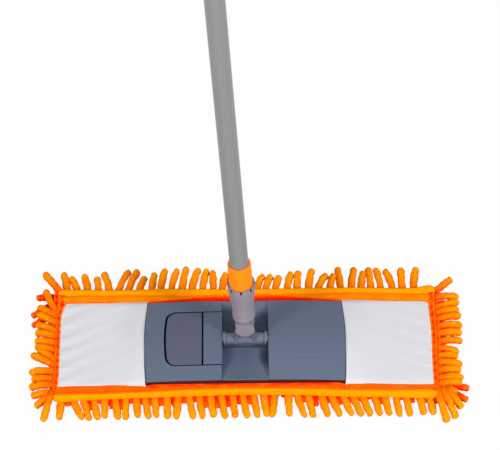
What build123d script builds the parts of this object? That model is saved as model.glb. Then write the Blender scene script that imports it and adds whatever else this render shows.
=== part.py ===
from build123d import *
import math
import os
import random

# Flat mop, in millimetres: a folding frame in a chenille pad, a two-axis joint and a telescopic handle.
# +X runs along the pad, +Y away from the user, +Z up. The origin is on the floor, under the joint.

# Heights of the layers, from the floor up
PILE_TOP = 9.5
CLOTH_TOP = 11.0
BACKING_TOP = 14.0
FRAME_BOTTOM = 14.2
PLATE_TOP = 16.8
EDGE_Z = 25.0

# Frame plan
FRAME_HALF_X = 200.0
FRAME_HALF_Y = 53.0
PLATE_HALF_Y = 52.0
PLATE_CORNER = 14.0
PLATE_OVERLAP = 6.0
SADDLE_HALF = 25.0
COVER_END = 109.5
COVER_END_BOW = 703.0
COVER_LOFT_END = 112.0
COVER_CROWN = 6.5
COVER_DROP = 3.2
WALL = 2.3
EDGE_ROUND = 1.1
RIB = 1.6
RIB_X = (52.0, 80.0)
RIB_Y = (-26.0, 26.0)
SLOT_LENGTH = 62.0
SLOT_WIDTH = 14.0
SLOT_Y = (-22.0, 22.0)

# Saddle and its trough
SADDLE_DIP = 4.5
SADDLE_SKIN = 2.8
SADDLE_HOLLOW_Y = (13.0, 30.0, FRAME_HALF_Y - WALL)
TROUGH_R = 10.25
TROUGH_HALF = 8.0
BEAD_WIDTH = 1.4
BEAD_RISE = 0.8
BARREL_Z = 27.0
AXLE_R = 2.0
AXLE_HALF = 31.0
BOSS_R = 4.2
BOSS_END = 31.5
RUN = 0.05
PART_GAP = 0.4

# Fold hinge of the left half
FOLD_X = -35.0
FOLD_Z = 19.5
FOLD_PIN_R = 2.0
KNUCKLE_R = 5.2
TONGUE_END = -45.5
TONGUE_HALF_Y = 34.8
FOLD_RELIEF_R = 9.4

# Pedal and its window
WINDOW_LEFT = -87.5
WINDOW_RIGHT = -20.0
WINDOW_HALF_Y = 36.0
WINDOW_CORNER = 12.0
WINDOW_BOW = 1.2
PEDAL_LEFT = -85.3
PEDAL_RIGHT = -47.1
PEDAL_HALF_Y = 34.8
PEDAL_CORNER = 10.8
PEDAL_SKIRT_BOTTOM = 20.0
PEDAL_T = 2.5
PEDAL_PIVOT = (-80.0, 23.0)
PEDAL_STUB_R = 2.2
PEDAL_STUB_END = 38.0
NOSE_X = (-49.6, -47.3)
NOSE_HALF_Y = 12.0
NOSE_Z = (18.6, 28.0)
BRIDGE_X = (-66.0, -56.0)
BRIDGE_TOP = 16.4
LEAF_T = 0.6
LEAF_WIDTH = 14.0
LEAF_BEND = 1.5
LEAF_FOOT_X = (-64.5, -57.0)
LEAF_TIP = (-54.0, 27.6)

# Two-axis joint
BARREL_R = 6.3
BARREL_HALF = 24.5
FLANGE_R = 8.0
FLANGE_T = 3.2
FLANGE_BEVEL = 1.4
LUG_HALF_T = 3.8
LUG_BASE_HALF = 11.5
LUG_FLARE_Z = (4.5, 12.0)
LUG_R = 9.5
GUSSET = 2.4
GUSSET_HALF_T = 5.9
SWAY_H = 21.0
SWAY_PIN_R = 2.5
CHEEK_IN = 4.1
CHEEK_OUT = 6.8
DISC_OUT = 8.2
DISC_HALF_X = 10.3
DISC_HALF_Z = 8.6
DISC_BEVEL = 0.5
PIN_SKIN = 0.6
LEAN_BACK = 5.0
LEAN_LEFT = 3.1

# Socket and collar, as (radius, height) along the handle from the sway pin
NECK_HALF = 9.6
NECK_Z = (11.0, 24.0)
NECK_RECESS_X = (4.6, 8.2)
NECK_RECESS_Z = (10.2, 17.6)
NECK_RECESS = 1.0
SOCKET_RIM = 70.8
SOCKET_FOOT = ((9.8, 13.5), (12.3, 18.5), (12.3, 21.5), (11.9, 24.0))
SOCKET_CUP = ((11.9, 38.0), (13.4, 51.0), (14.85, 64.0), (14.85, 70.8))
SOCKET_BORE = ((10.5, 37.0), (12.8, 64.0), (13.0, 72.0))
NOTCHES = 8
NOTCH_WIDTH = 2.2
NOTCH_R = (12.0, 16.0)
NOTCH_Z = (66.0, 72.0)
COLLAR_PLUG = ((10.2, 37.6), (12.0, 58.0), (11.1, 59.0), (11.1, 68.0), (12.6, 68.9))
COLLAR_TOP = 101.0
COLLAR_TOP_R = 12.4
COLLAR_LIP = 0.8
COLLAR_HOLLOW_R = 8.0
COLLAR_FLOOR = 41.0

# Telescopic handle, along the handle from the sway pin
TUBE_R = 10.0
TUBE_WALL = 0.8
TUBE_FROM = 58.1
TUBE_TO = 600.0
COLLET_FROM = 566.0
COLLET_TO = 624.0
COLLET_R = 11.4
COLLET_STEP = 603.0
COLLET_CONE = (10.6, 10.0)
COLLET_BORE_GAP = 0.1
COLLET_SLIT = 1.4
COLLET_SLIT_FROM = 605.0
NUT_FROM = 578.0
NUT_TO = 632.0
NUT_R = 14.2
NUT_FOOT = 3.0
NUT_EDGE = 1.0
NUT_SHOULDER = 12.0
NUT_TOP_R = (12.0, 11.2)
NUT_GAP = 0.2
NUT_CHAMBER_R = 10.9
NUT_CHAMBER_Z = (603.4, 625.0)
NUT_LIP = 5.0
NUT_FLUTES = 8
FLUTE_R = 2.0
FLUTE_OUT = 0.9
FLUTE_Z = (584.0, 616.0)
INNER_R = 8.5
INNER_FROM = 66.0
INNER_TO = 770.0
GUIDE_R = 9.1
GUIDE_CHAMFER = 0.9
GUIDE_FROM = 58.4
GUIDE_TO = 84.0
GRIP_FROM = 655.0
GRIP_TO = 785.0
GRIP_FOOT = ((12.8, 655.0), (13.6, 659.0))
GRIP_SIDE = ((13.6, 684.0), (12.4, 704.0), (12.8, 726.0), (13.4, 752.0), (12.6, 783.0))
GRIP_TOP_R = 12.0
GRIP_WEB_TOP = 774.0
GROOVE_Z = (667.0, 673.0, 679.0)
GROOVE_HALF = 1.3
GROOVE_DEPTH = 1.0
CAP_PLUG_R = 7.0
CAP_PLUG_FROM = 774.2
CAP_BASE_R = (11.8, 11.2)
CAP_BASE_TOP = 790.0
EYE_FOOT = (11.0, 786.0)
EYE_Z = 802.0
EYE_R = 12.5
EYE_HOLE_R = 6.0
EYE_HALF_T = 5.5
EYE_BEVEL = 1.2

# Pad
PAD_HALF_X = 213.5
PAD_HALF_Y = 73.5
BACKING_HALF_X = 209.5
BACKING_HALF_Y = 70.0
BEND_FROM = -62.0
BEND_TO = -10.0
CUT = 0.3
POCKET_FROM = 110.4
POCKET_TO = 203.4
POCKET_HALF_Y = 53.9
POCKET_TOP = 18.0
CLOTH = 0.9
BAND_IN = 54.6
BAND_FLAP = 60.0
BAND_FLAP_Z = (15.4, 16.0)
BAND_CROWN = (66.8, 19.4)
END_BAND_IN = 203.8
END_BAND_CROWN = (208.6, 18.0)
BAND_EDGE_Z = 14.0
BAND_TUCK = 0.7
BAND_GAP = 0.1

# Chenille fingers
FINGER = 6.0
FINGER_TIP = 4.8
FINGER_PITCH = 9.3
FINGER_ROOT_IN = 7.0
FINGER_Z = 7.6
KNEE_OUT = 0.45
KNEE_SIDE = 0.3
KNEE_DROP = 0.25
FRINGE_X = 240.0
FRINGE_BACK = 105.0
FRINGE_FRONT = 100.5
TIP_Z_BACK = 11.3
TIP_Z_FRONT = 3.4
TIP_Z_END = 3.6
TIP_Z_CORNER = 4.2
UNEVEN = 6.5
SIDE_LEAN = 2.2
SIDE_WAVE = 0.55
SIDE_PHASE = 1.3
END_LEAN = 1.8
END_WAVE = 0.7
CORNER_REACH = 27.0
CORNER_IN = 1.5
STUB_PITCH = 16.5
STUB_R = 4.6
STUB_MARGIN = 9.0
STUB_LEAN = 3.2
STUB_LEAST = 0.8
STUB_ROW_WAVE = 0.6
STUB_COLUMN_WAVE = 0.5
STUB_END_GAP = 1.0
ROOT_BITE = 0.2
FLOOR_CUT = 0.5
SEED = 11

# Cutting blocks reach this far, clear of the frame's head
BEYOND = 70.0

DIAGONAL = math.sqrt(0.5)
T_PIECE = Pos(0, 0, BARREL_Z) * Rotation(-LEAN_BACK, 0, 0)
HANDLE = T_PIECE * Pos(0, 0, SWAY_H) * Rotation(0, -LEAN_LEFT, 0)


def span_box(x, y, z):
    """Box between two limits on each axis."""
    size = [high - low for low, high in (x, y, z)]
    middle = [(high + low) / 2 for low, high in (x, y, z)]
    return Pos(*middle) * Box(*size)


def both_ways(limit):
    """Limits of a span centred on zero."""
    return (-limit, limit)


def sided(side, near, far):
    """Limits of a span on the negative (-1) or positive (+1) side."""
    return sorted((side * near, side * far))


def rod_x(radius, x_from, x_to, y, z):
    """Cylinder along X."""
    return Pos((x_from + x_to) / 2, y, z) * Rotation(0, 90, 0) * Cylinder(radius, x_to - x_from)


def rod_y(radius, y_from, y_to, x, z):
    """Cylinder along Y."""
    return Pos(x, (y_from + y_to) / 2, z) * Rotation(90, 0, 0) * Cylinder(radius, y_to - y_from)


def turned(points):
    """Solid of revolution about Z from (radius, height) points."""
    profile = Plane.XZ * make_face(Polyline(*points, close=True))
    return revolve(profile, Axis.Z)


def edge_height(x):
    """Height of the cover's long edges, which sink towards the outer end."""
    share = (abs(x) - SADDLE_HALF) / (COVER_LOFT_END - SADDLE_HALF)
    return EDGE_Z - COVER_DROP * share**2


def crown_section(x, inset, base):
    """Section across the cover: upright sides under one shallow arch."""
    half = FRAME_HALF_Y - inset
    edge = edge_height(x) - inset
    sides = Polyline((half, edge), (half, base), (-half, base), (-half, edge))
    arch = ThreePointArc((-half, edge), (0, edge + COVER_CROWN), (half, edge))
    return Plane.YZ.offset(x) * make_face(sides + arch)


def crowned_block(side, inset=0.0, base=FRAME_BOTTOM, lowered=0.0):
    """Arched block of one cover, on the left (-1) or the right (+1)."""
    start = SADDLE_HALF + inset
    end = COVER_LOFT_END
    stations = (start, (start + end) / 2, end)
    block = loft([crown_section(side * x, inset, base) for x in stations])
    bow_centre = side * (COVER_END - inset - COVER_END_BOW)
    bowed_end = Pos(bow_centre, 0, 0) * Cylinder(COVER_END_BOW, 2 * BEYOND)
    return Pos(0, 0, -lowered) * (block & bowed_end)


def hollow_block(side):
    """Space under one cover, which runs out through its open bottom."""
    return crowned_block(side, inset=WALL, base=FRAME_BOTTOM - WALL)


def rounded_cover(side):
    """Outer form of a cover with its top edges rounded."""
    block = crowned_block(side)
    lowest_top = EDGE_Z - COVER_DROP - EDGE_ROUND
    top = [e for e in block.edges() if e.center().Z > lowest_top]
    return fillet(top, EDGE_ROUND)


def outer_plate(side):
    """Flat end of a frame half, which slips into a pad pocket."""
    start = COVER_END - PLATE_OVERLAP
    middle = (start + FRAME_HALF_X) / 2
    plate = Pos(middle, 0) * Rectangle(FRAME_HALF_X - start, 2 * PLATE_HALF_Y)
    corners = [v for v in plate.vertices() if v.X > middle]
    plate = fillet(corners, PLATE_CORNER)
    slot_middle = (COVER_END + FRAME_HALF_X) / 2
    for y in SLOT_Y:
        plate -= Pos(slot_middle, y) * SlotOverall(SLOT_LENGTH, SLOT_WIDTH)
    solid = prism(plate, FRAME_BOTTOM, PLATE_TOP)
    return solid if side > 0 else mirror(solid, Plane.YZ)


def cover_ribs(side, cover):
    """Stiffening ribs under a cover, cut to its outside."""
    height = (FRAME_BOTTOM, BEYOND)
    half = RIB / 2
    length = sided(side, SADDLE_HALF + half, COVER_END - WALL)
    across = [span_box((side * x - half, side * x + half), both_ways(PLATE_HALF_Y), height) for x in RIB_X]
    along = [span_box(length, (y - half, y + half), height) for y in RIB_Y]
    return [rib & cover for rib in across + along]


def window_outline(left, right, half, corner, bow):
    """D-shaped outline: rounded corners and a bowed edge on the left, straight on the right."""
    bend = corner * DIAGONAL
    x_in = left + corner
    y_in = half - corner
    top = Line((right, half), (x_in, half))
    upper = ThreePointArc((x_in, half), (x_in - bend, y_in + bend), (left, y_in))
    bowed = ThreePointArc((left, y_in), (left - bow, 0), (left, -y_in))
    lower = ThreePointArc((left, -y_in), (x_in - bend, -y_in - bend), (x_in, -half))
    bottom = Line((x_in, -half), (right, -half))
    close = Line((right, -half), (right, half))
    return make_face(top + upper + bowed + lower + bottom + close)


def prism(face, low, high):
    """Upright prism of a plan outline between two heights."""
    return extrude(Pos(0, 0, low) * face, high - low)


def saddle_height(y):
    """Height of the saddle's dished floor."""
    return EDGE_Z - SADDLE_DIP * (1 - (y / FRAME_HALF_Y) ** 2)


def saddle():
    """Dished floor between the covers, with the barrel's trough and a bead along its front lip."""
    half = FRAME_HALF_Y
    trough_z = BARREL_Z - math.sqrt(TROUGH_R**2 - TROUGH_HALF**2)
    middle_y = (half + TROUGH_HALF) / 2
    middle_z = saddle_height(middle_y)
    outside = Polyline((-half, EDGE_Z), (-half, FRAME_BOTTOM), (half, FRAME_BOTTOM), (half, EDGE_Z))
    back = ThreePointArc((half, EDGE_Z), (middle_y, middle_z), (TROUGH_HALF, trough_z))
    trough = ThreePointArc((TROUGH_HALF, trough_z), (0, BARREL_Z - TROUGH_R), (-TROUGH_HALF, trough_z))
    bead_y = -TROUGH_HALF - BEAD_WIDTH
    bead_z = trough_z + BEAD_RISE
    bead = Polyline((-TROUGH_HALF, trough_z), (-TROUGH_HALF, bead_z), (bead_y, bead_z), (bead_y, trough_z))
    front = ThreePointArc((bead_y, trough_z), (-middle_y, middle_z), (-half, EDGE_Z))
    face = Plane.YZ.offset(-SADDLE_HALF) * make_face(outside + back + trough + bead + front)
    body = extrude(face, 2 * SADDLE_HALF)
    edges = [e for e in body.edges().filter_by(Axis.X) if e.center().Z > EDGE_Z - RUN]
    body = fillet(edges, EDGE_ROUND)
    for side in (-1, 1):
        cell = saddle_cell(side)
        body -= cell
        body -= mirror(cell, Plane.XZ)
    return body


def saddle_cell(side):
    """Moulding hollow under one back quarter of the saddle."""
    low = FRAME_BOTTOM - WALL
    roof = [(y, saddle_height(y) - SADDLE_SKIN) for y in SADDLE_HOLLOW_Y]
    face = make_face(Polyline((SADDLE_HOLLOW_Y[-1], low), (SADDLE_HOLLOW_Y[0], low), *roof, close=True))
    x_from, x_to = sided(side, RIB / 2, SADDLE_HALF - RIB)
    return extrude(Plane.YZ.offset(x_from) * face, x_to - x_from)


def tongue():
    """Hinge tongue of the right half, which lies in the left cover's window."""
    limits = span_box((TONGUE_END, -SADDLE_HALF), both_ways(TONGUE_HALF_Y), (FRAME_BOTTOM, BEYOND))
    body = rounded_tongue_edge(crowned_block(-1) & limits)
    inside = span_box(
        (TONGUE_END + WALL, -SADDLE_HALF - WALL),
        both_ways(TONGUE_HALF_Y - WALL),
        (FRAME_BOTTOM - WALL, BEYOND),
    )
    body -= inside & crowned_block(-1, base=FRAME_BOTTOM - WALL, lowered=WALL)
    body += rod_y(KNUCKLE_R, *both_ways(TONGUE_HALF_Y), FOLD_X, FOLD_Z)
    return body


def rounded_tongue_edge(block):
    """Rounds the tongue's top edge beside the pedal."""
    beside = [e for e in block.edges() if abs(e.center().X - TONGUE_END) < RUN]
    top = [e for e in beside if e.center().Z > EDGE_Z and e.bounding_box().size.Y > TONGUE_HALF_Y]
    return fillet(top, EDGE_ROUND / 2)


def make_right_half():
    """Right frame half: cover shell, outer plate, saddle and hinge tongue in one moulding."""
    cover = rounded_cover(1)
    body = cover - hollow_block(1)
    body += cover_ribs(1, cover) + [outer_plate(1), saddle(), tongue()]
    for side in (-1, 1):
        body += rod_x(BOSS_R, *sided(side, SADDLE_HALF, BOSS_END), 0, BARREL_Z)
    body -= rod_x(AXLE_R + RUN, *both_ways(BOSS_END + WALL), 0, BARREL_Z)
    body -= rod_y(FOLD_PIN_R + RUN, *both_ways(BEYOND), FOLD_X, FOLD_Z)
    return body


def make_left_half():
    """Left frame half: cover shell with the pedal window, outer plate and hinge knuckles."""
    cover = rounded_cover(-1)
    body = cover - hollow_block(-1)
    body += cover_ribs(-1, cover) + [outer_plate(-1)]
    window = window_outline(WINDOW_LEFT, WINDOW_RIGHT, WINDOW_HALF_Y, WINDOW_CORNER, WINDOW_BOW)
    skirt = window_outline(
        WINDOW_LEFT - WALL, WINDOW_RIGHT, WINDOW_HALF_Y + WALL, WINDOW_CORNER + WALL, WINDOW_BOW
    )
    body += prism(skirt, FRAME_BOTTOM, BEYOND) & cover
    for side in (-1, 1):
        body += rod_y(KNUCKLE_R, *sided(side, WINDOW_HALF_Y, FRAME_HALF_Y - EDGE_ROUND), FOLD_X, FOLD_Z)
    body -= prism(window, 0, BEYOND)
    body -= span_box((-SADDLE_HALF - PART_GAP, 0), both_ways(BEYOND), (0, BEYOND))
    swing = span_box((FOLD_X, 0), both_ways(BEYOND), (0, FOLD_Z))
    body -= swing - rod_y(FOLD_RELIEF_R, *both_ways(BEYOND), FOLD_X, FOLD_Z)
    body += span_box(BRIDGE_X, both_ways(WINDOW_HALF_Y + WALL / 2), (FRAME_BOTTOM, BRIDGE_TOP))
    body -= rod_y(FOLD_PIN_R + RUN, WALL - FRAME_HALF_Y, BEYOND, FOLD_X, FOLD_Z)
    body -= rod_y(PEDAL_STUB_R + RUN, *both_ways(PEDAL_STUB_END + RUN), *PEDAL_PIVOT)
    return body


def make_pedal():
    """D-shaped pedal, flush with the left cover, with pivot stubs and a latch nose."""
    outline = window_outline(PEDAL_LEFT, PEDAL_RIGHT, PEDAL_HALF_Y, PEDAL_CORNER, WINDOW_BOW)
    inner = window_outline(
        PEDAL_LEFT + WALL, PEDAL_RIGHT - WALL, PEDAL_HALF_Y - WALL, PEDAL_CORNER - WALL, WINDOW_BOW
    )
    body = prism(outline, PEDAL_SKIRT_BOTTOM, BEYOND) & crowned_block(-1)
    top = [e for e in body.edges() if e.center().Z > EDGE_Z]
    body = fillet(top, EDGE_ROUND / 2)
    body -= prism(inner, 0, BEYOND) & crowned_block(-1, base=0, lowered=PEDAL_T)
    for side in (-1, 1):
        body += rod_y(PEDAL_STUB_R, *sided(side, PEDAL_HALF_Y - WALL, PEDAL_STUB_END), *PEDAL_PIVOT)
    body += span_box(NOSE_X, both_ways(NOSE_HALF_Y), NOSE_Z)
    return body


def make_pedal_spring():
    """Bent steel leaf between the bridge and the underside of the pedal."""
    foot_z = BRIDGE_TOP + LEAF_T / 2 + RUN
    heel_x, toe_x = LEAF_FOOT_X
    toe = (toe_x, 0, foot_z)
    tip = (LEAF_TIP[0], 0, LEAF_TIP[1])
    path = FilletPolyline(toe, (heel_x, 0, foot_z), tip, radius=LEAF_BEND)
    return sweep(Plane(toe, x_dir=(0, 1, 0), z_dir=(-1, 0, 0)) * Rectangle(LEAF_WIDTH, LEAF_T), path)


def make_cross_joint():
    """T-piece: flanged barrel with a flared lug for the fork, stiffened by a gusset along each side."""
    body = rod_x(BARREL_R, *both_ways(BARREL_HALF), 0, 0)
    for side in (-1, 1):
        flange = rod_x(FLANGE_R, *sided(side, BARREL_HALF - FLANGE_T, BARREL_HALF), 0, 0)
        outer = flange.edges().sort_by(Axis.X)[-1 if side > 0 else 0]
        body += chamfer(outer, FLANGE_BEVEL)
    foot, waist = LUG_FLARE_Z
    flare = [(-LUG_R, waist), (-LUG_BASE_HALF, foot), (-LUG_BASE_HALF, 0)]
    left = [(-LUG_R, SWAY_H), *flare]
    right = [(-x, z) for x, z in reversed(left)]
    crown = ThreePointArc((LUG_R, SWAY_H), (0, SWAY_H + LUG_R), (-LUG_R, SWAY_H))
    body += extrude(Plane.XZ * make_face(Polyline(*left, *right) + crown), LUG_HALF_T, both=True)
    inner = [(x + GUSSET, z) for x, z in reversed(flare)]
    gusset = extrude(Plane.XZ * make_face(Polyline(*flare, *inner, close=True)), GUSSET_HALF_T, both=True)
    body += [gusset, mirror(gusset, Plane.YZ)]
    body -= rod_x(AXLE_R + RUN, *both_ways(BEYOND), 0, 0)
    body -= rod_y(SWAY_PIN_R + RUN, *both_ways(BEYOND), 0, SWAY_H)
    return T_PIECE * body


def fork_side(side):
    """One cheek of the fork with its oval boss and the recesses that leave a rib on the neck."""
    cheek_y = sided(side, CHEEK_IN, CHEEK_OUT)
    cheek = span_box(both_ways(NECK_HALF), cheek_y, (0, NECK_Z[1]))
    cheek += rod_y(NECK_HALF, *cheek_y, 0, 0)
    recess_y = sided(side, CHEEK_OUT - NECK_RECESS, CHEEK_OUT + NECK_RECESS)
    for hand in (-1, 1):
        cheek -= span_box(sided(hand, *NECK_RECESS_X), recess_y, NECK_RECESS_Z)
    oval = Plane.XZ.offset(-side * CHEEK_IN) * Ellipse(DISC_HALF_X, DISC_HALF_Z)
    disc = extrude(oval, -side * (DISC_OUT - CHEEK_IN))
    rim = disc.faces().sort_by(Axis.Y)[-1 if side > 0 else 0].edges()
    return cheek + chamfer(rim, DISC_BEVEL)


def make_socket():
    """Fork and flared socket with notches round its rim."""
    foot_z = SOCKET_FOOT[0][1]
    body = span_box(both_ways(NECK_HALF), both_ways(CHEEK_IN), NECK_Z)
    body += [fork_side(-1), fork_side(1)]
    body += turned([(0, foot_z), *SOCKET_FOOT, *SOCKET_CUP, (0, SOCKET_RIM)])
    body -= turned([(0, SOCKET_BORE[0][1]), *SOCKET_BORE, (0, SOCKET_BORE[-1][1])])
    notch = span_box(NOTCH_R, both_ways(NOTCH_WIDTH / 2), NOTCH_Z)
    for index in range(NOTCHES):
        body -= Rotation(0, 0, 360 / NOTCHES * index) * notch
    body -= rod_y(SWAY_PIN_R + RUN, PIN_SKIN - CHEEK_OUT - RUN, BEYOND, 0, 0)
    return HANDLE * body


def make_sway_pin():
    """Steel pin of the fork, blind at the front and flush at the back."""
    return HANDLE * rod_y(SWAY_PIN_R, PIN_SKIN - CHEEK_OUT, DISC_OUT, 0, 0)


def make_collar():
    """Orange collar: tapered plug in the socket, and a sleeve round the foot of the tube."""
    inside = TUBE_R + RUN
    shelf = TUBE_FROM - RUN
    lip_r = COLLAR_TOP_R - COLLAR_LIP
    sleeve = [(COLLAR_TOP_R, COLLAR_TOP - COLLAR_LIP), (lip_r, COLLAR_TOP), (inside, COLLAR_TOP)]
    hollow = [(inside, shelf), (COLLAR_HOLLOW_R, shelf), (COLLAR_HOLLOW_R, COLLAR_FLOOR), (0, COLLAR_FLOOR)]
    return HANDLE * turned([(0, COLLAR_PLUG[0][1]), *COLLAR_PLUG, *sleeve, *hollow])


def tube(radius, low, high):
    """Plain tube along the handle."""
    inside = radius - TUBE_WALL
    return HANDLE * turned([(inside, low), (radius, low), (radius, high), (inside, high)])


def make_lock_collet():
    """Split collet on the lower tube's end, which grips the upper tube."""
    bore = INNER_R + COLLET_BORE_GAP
    seat = TUBE_R + RUN
    cone_foot, cone_top = COLLET_CONE
    sleeve = [(seat, COLLET_FROM), (COLLET_R, COLLET_FROM), (COLLET_R, COLLET_STEP)]
    cone = [(cone_foot, COLLET_STEP), (cone_top, COLLET_TO)]
    inside = [(bore, COLLET_TO), (bore, TUBE_TO + RUN), (seat, TUBE_TO + RUN)]
    body = turned(sleeve + cone + inside)
    slit = span_box(both_ways(BEYOND), both_ways(COLLET_SLIT / 2), (COLLET_SLIT_FROM, COLLET_TO + RUN))
    for turn in (0, 90):
        body -= Rotation(0, 0, turn) * slit
    return HANDLE * body


def make_lock_nut():
    """Fluted nut that closes the collet."""
    bore = COLLET_R + NUT_GAP
    mouth = INNER_R + NUT_GAP
    shoulder, rim = NUT_TOP_R
    chamber_from, chamber_to = NUT_CHAMBER_Z
    outside = [
        (bore, NUT_FROM), (NUT_R - NUT_EDGE, NUT_FROM), (NUT_R, NUT_FROM + NUT_FOOT),
        (NUT_R, NUT_TO - NUT_SHOULDER), (shoulder, NUT_TO - NUT_EDGE), (rim, NUT_TO),
    ]
    inside = [
        (mouth, NUT_TO), (mouth, NUT_TO - NUT_LIP), (NUT_CHAMBER_R, chamber_to),
        (NUT_CHAMBER_R, chamber_from), (bore, chamber_from),
    ]
    body = turned(outside + inside)
    low, high = FLUTE_Z
    flute = Pos(NUT_R + FLUTE_OUT, 0, (low + high) / 2) * Cylinder(FLUTE_R, high - low)
    for index in range(NUT_FLUTES):
        body -= Rotation(0, 0, 360 / NUT_FLUTES * index) * flute
    return HANDLE * body


def make_tube_guide():
    """Plastic foot on the upper tube, which runs inside the lower tube."""
    bore = INNER_R + RUN
    floor = INNER_FROM - RUN
    foot = [(0, GUIDE_FROM), (GUIDE_R - GUIDE_CHAMFER, GUIDE_FROM), (GUIDE_R, GUIDE_FROM + GUIDE_CHAMFER)]
    cup = [(GUIDE_R, GUIDE_TO), (bore, GUIDE_TO), (bore, floor), (0, floor)]
    return HANDLE * turned(foot + cup)


def make_grip():
    """Waisted hand grip with rings near its lower end."""
    bore = INNER_R + RUN
    seat = CAP_PLUG_R + RUN
    web = INNER_TO + RUN
    outer = GRIP_FOOT[-1][0]
    grooves = []
    for z in GROOVE_Z:
        grooves += [(outer, z - GROOVE_HALF), (outer - GROOVE_DEPTH, z), (outer, z + GROOVE_HALF)]
    inside = [(0, web), (bore, web), (bore, GRIP_FROM)]
    top = [(GRIP_TOP_R, GRIP_TO), (seat, GRIP_TO), (seat, GRIP_WEB_TOP), (0, GRIP_WEB_TOP)]
    return HANDLE * turned(inside + [*GRIP_FOOT] + grooves + [*GRIP_SIDE] + top)


def make_hang_cap():
    """End cap with a flat eye to hang the mop by."""
    foot_x, foot_z = EYE_FOOT
    base, shoulder = CAP_BASE_R
    body = turned([(0, CAP_PLUG_FROM), (CAP_PLUG_R, CAP_PLUG_FROM), (CAP_PLUG_R, GRIP_TO), (0, GRIP_TO)])
    body += turned([(0, GRIP_TO), (base, GRIP_TO), (shoulder, CAP_BASE_TOP), (0, CAP_BASE_TOP)])
    foot = Polyline((-EYE_R, EYE_Z), (-foot_x, foot_z), (foot_x, foot_z), (EYE_R, EYE_Z))
    crown = ThreePointArc((EYE_R, EYE_Z), (0, EYE_Z + EYE_R), (-EYE_R, EYE_Z))
    eye = extrude(Plane.XZ * make_face(foot + crown), EYE_HALF_T, both=True)
    body += chamfer(eye.edges().filter_by(GeomType.CIRCLE), EYE_BEVEL)
    body -= rod_y(EYE_HOLE_R, *both_ways(BEYOND), 0, EYE_Z)
    return HANDLE * body


def pad_spans():
    """Name and X limits of the pad's stretches left of, over and right of the fold."""
    return {
        "left": (-PAD_HALF_X, BEND_FROM - CUT),
        "middle": (BEND_FROM, BEND_TO - CUT),
        "right": (BEND_TO, PAD_HALF_X),
    }


def inside_backing(low, high):
    """X limits of one stretch, kept within the backing."""
    return (max(low, -BACKING_HALF_X), min(high, BACKING_HALF_X))


def make_backing(low, high):
    """Flat backing under the frame, over one stretch of the pad."""
    return span_box(inside_backing(low, high), both_ways(BACKING_HALF_Y), (CLOTH_TOP, BACKING_TOP))


def band_section(start, crown, backing_edge, pad_edge):
    """Section of the binding: from its inner seam over a soft roll, then tucked under the pad's edge."""
    tuck_z = CLOTH_TOP + BAND_GAP
    tuck = backing_edge + BAND_GAP
    roll = ThreePointArc(start[-1], crown, (pad_edge, BAND_EDGE_Z))
    under = Polyline(
        (pad_edge, BAND_EDGE_Z), (pad_edge - BAND_TUCK, tuck_z), (tuck, tuck_z), (tuck, BACKING_TOP), start[0]
    )
    return make_face(Polyline(*start) + roll + under)


def long_band(low, high, side):
    """Binding along one long edge of a stretch, with a thin flap inside its roll."""
    seam_z, flap_z = BAND_FLAP_Z
    start = [(BAND_IN, BACKING_TOP), (BAND_IN, seam_z), (BAND_FLAP, flap_z)]
    face = band_section(start, BAND_CROWN, BACKING_HALF_Y, PAD_HALF_Y)
    band = extrude(Plane.YZ.offset(low) * face, high - low)
    return band if side > 0 else mirror(band, Plane.XZ)


def end_band(side):
    """Narrow binding across one end of the pad."""
    start = [(END_BAND_IN, BACKING_TOP), (END_BAND_IN, BAND_FLAP_Z[0])]
    face = band_section(start, END_BAND_CROWN, BACKING_HALF_X, PAD_HALF_X)
    band = extrude(Plane.XZ * face, BAND_IN, both=True)
    return band if side > 0 else mirror(band, Plane.YZ)


def make_binding(name, low, high):
    """Binding of one stretch of the pad, round the end where there is one."""
    body = long_band(low, high, 1) + long_band(low, high, -1)
    if name == "left":
        body += end_band(-1)
    if name == "right":
        body += end_band(1)
    return body


def make_pocket(side):
    """Cloth pocket over one end of the frame, open towards the joint."""
    outer_x = sided(side, POCKET_FROM, POCKET_TO)
    inner_x = sided(side, POCKET_FROM - CLOTH, POCKET_TO - CLOTH)
    inner_z = (BACKING_TOP - CLOTH, POCKET_TOP - CLOTH)
    outside = span_box(outer_x, both_ways(POCKET_HALF_Y), (BACKING_TOP, POCKET_TOP))
    return outside - span_box(inner_x, both_ways(POCKET_HALF_Y - CLOTH), inner_z)


def strand(points, widths):
    """Four-sided chenille finger through a few points, square to its run."""
    sections = []
    last = len(points) - 1
    for index, (point, width) in enumerate(zip(points, widths)):
        run = Vector(*points[min(index + 1, last)]) - Vector(*points[max(index - 1, 0)])
        sections.append(Plane(point, x_dir=run.cross(Vector(0, 0, 1)), z_dir=run) * Rectangle(width, width))
    return loft(sections, ruled=True)


def edge_finger(root, outward, reach, sideways, tip_z):
    """Finger of the fringe: out from under the pad's edge, then bent towards its tip."""
    out_x, out_y = outward

    def place(out, side, z):
        """Point at a distance out from the root and to its side."""
        return (root[0] + out * out_x - side * out_y, root[1] + out * out_y + side * out_x, z)

    knee_z = FINGER_Z + KNEE_DROP * (tip_z - FINGER_Z)
    start = place(-FINGER_ROOT_IN, 0, FINGER_Z)
    knee = place(KNEE_OUT * reach, KNEE_SIDE * sideways, knee_z)
    return strand([start, knee, place(reach, sideways, tip_z)], [FINGER, FINGER, FINGER_TIP])


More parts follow.
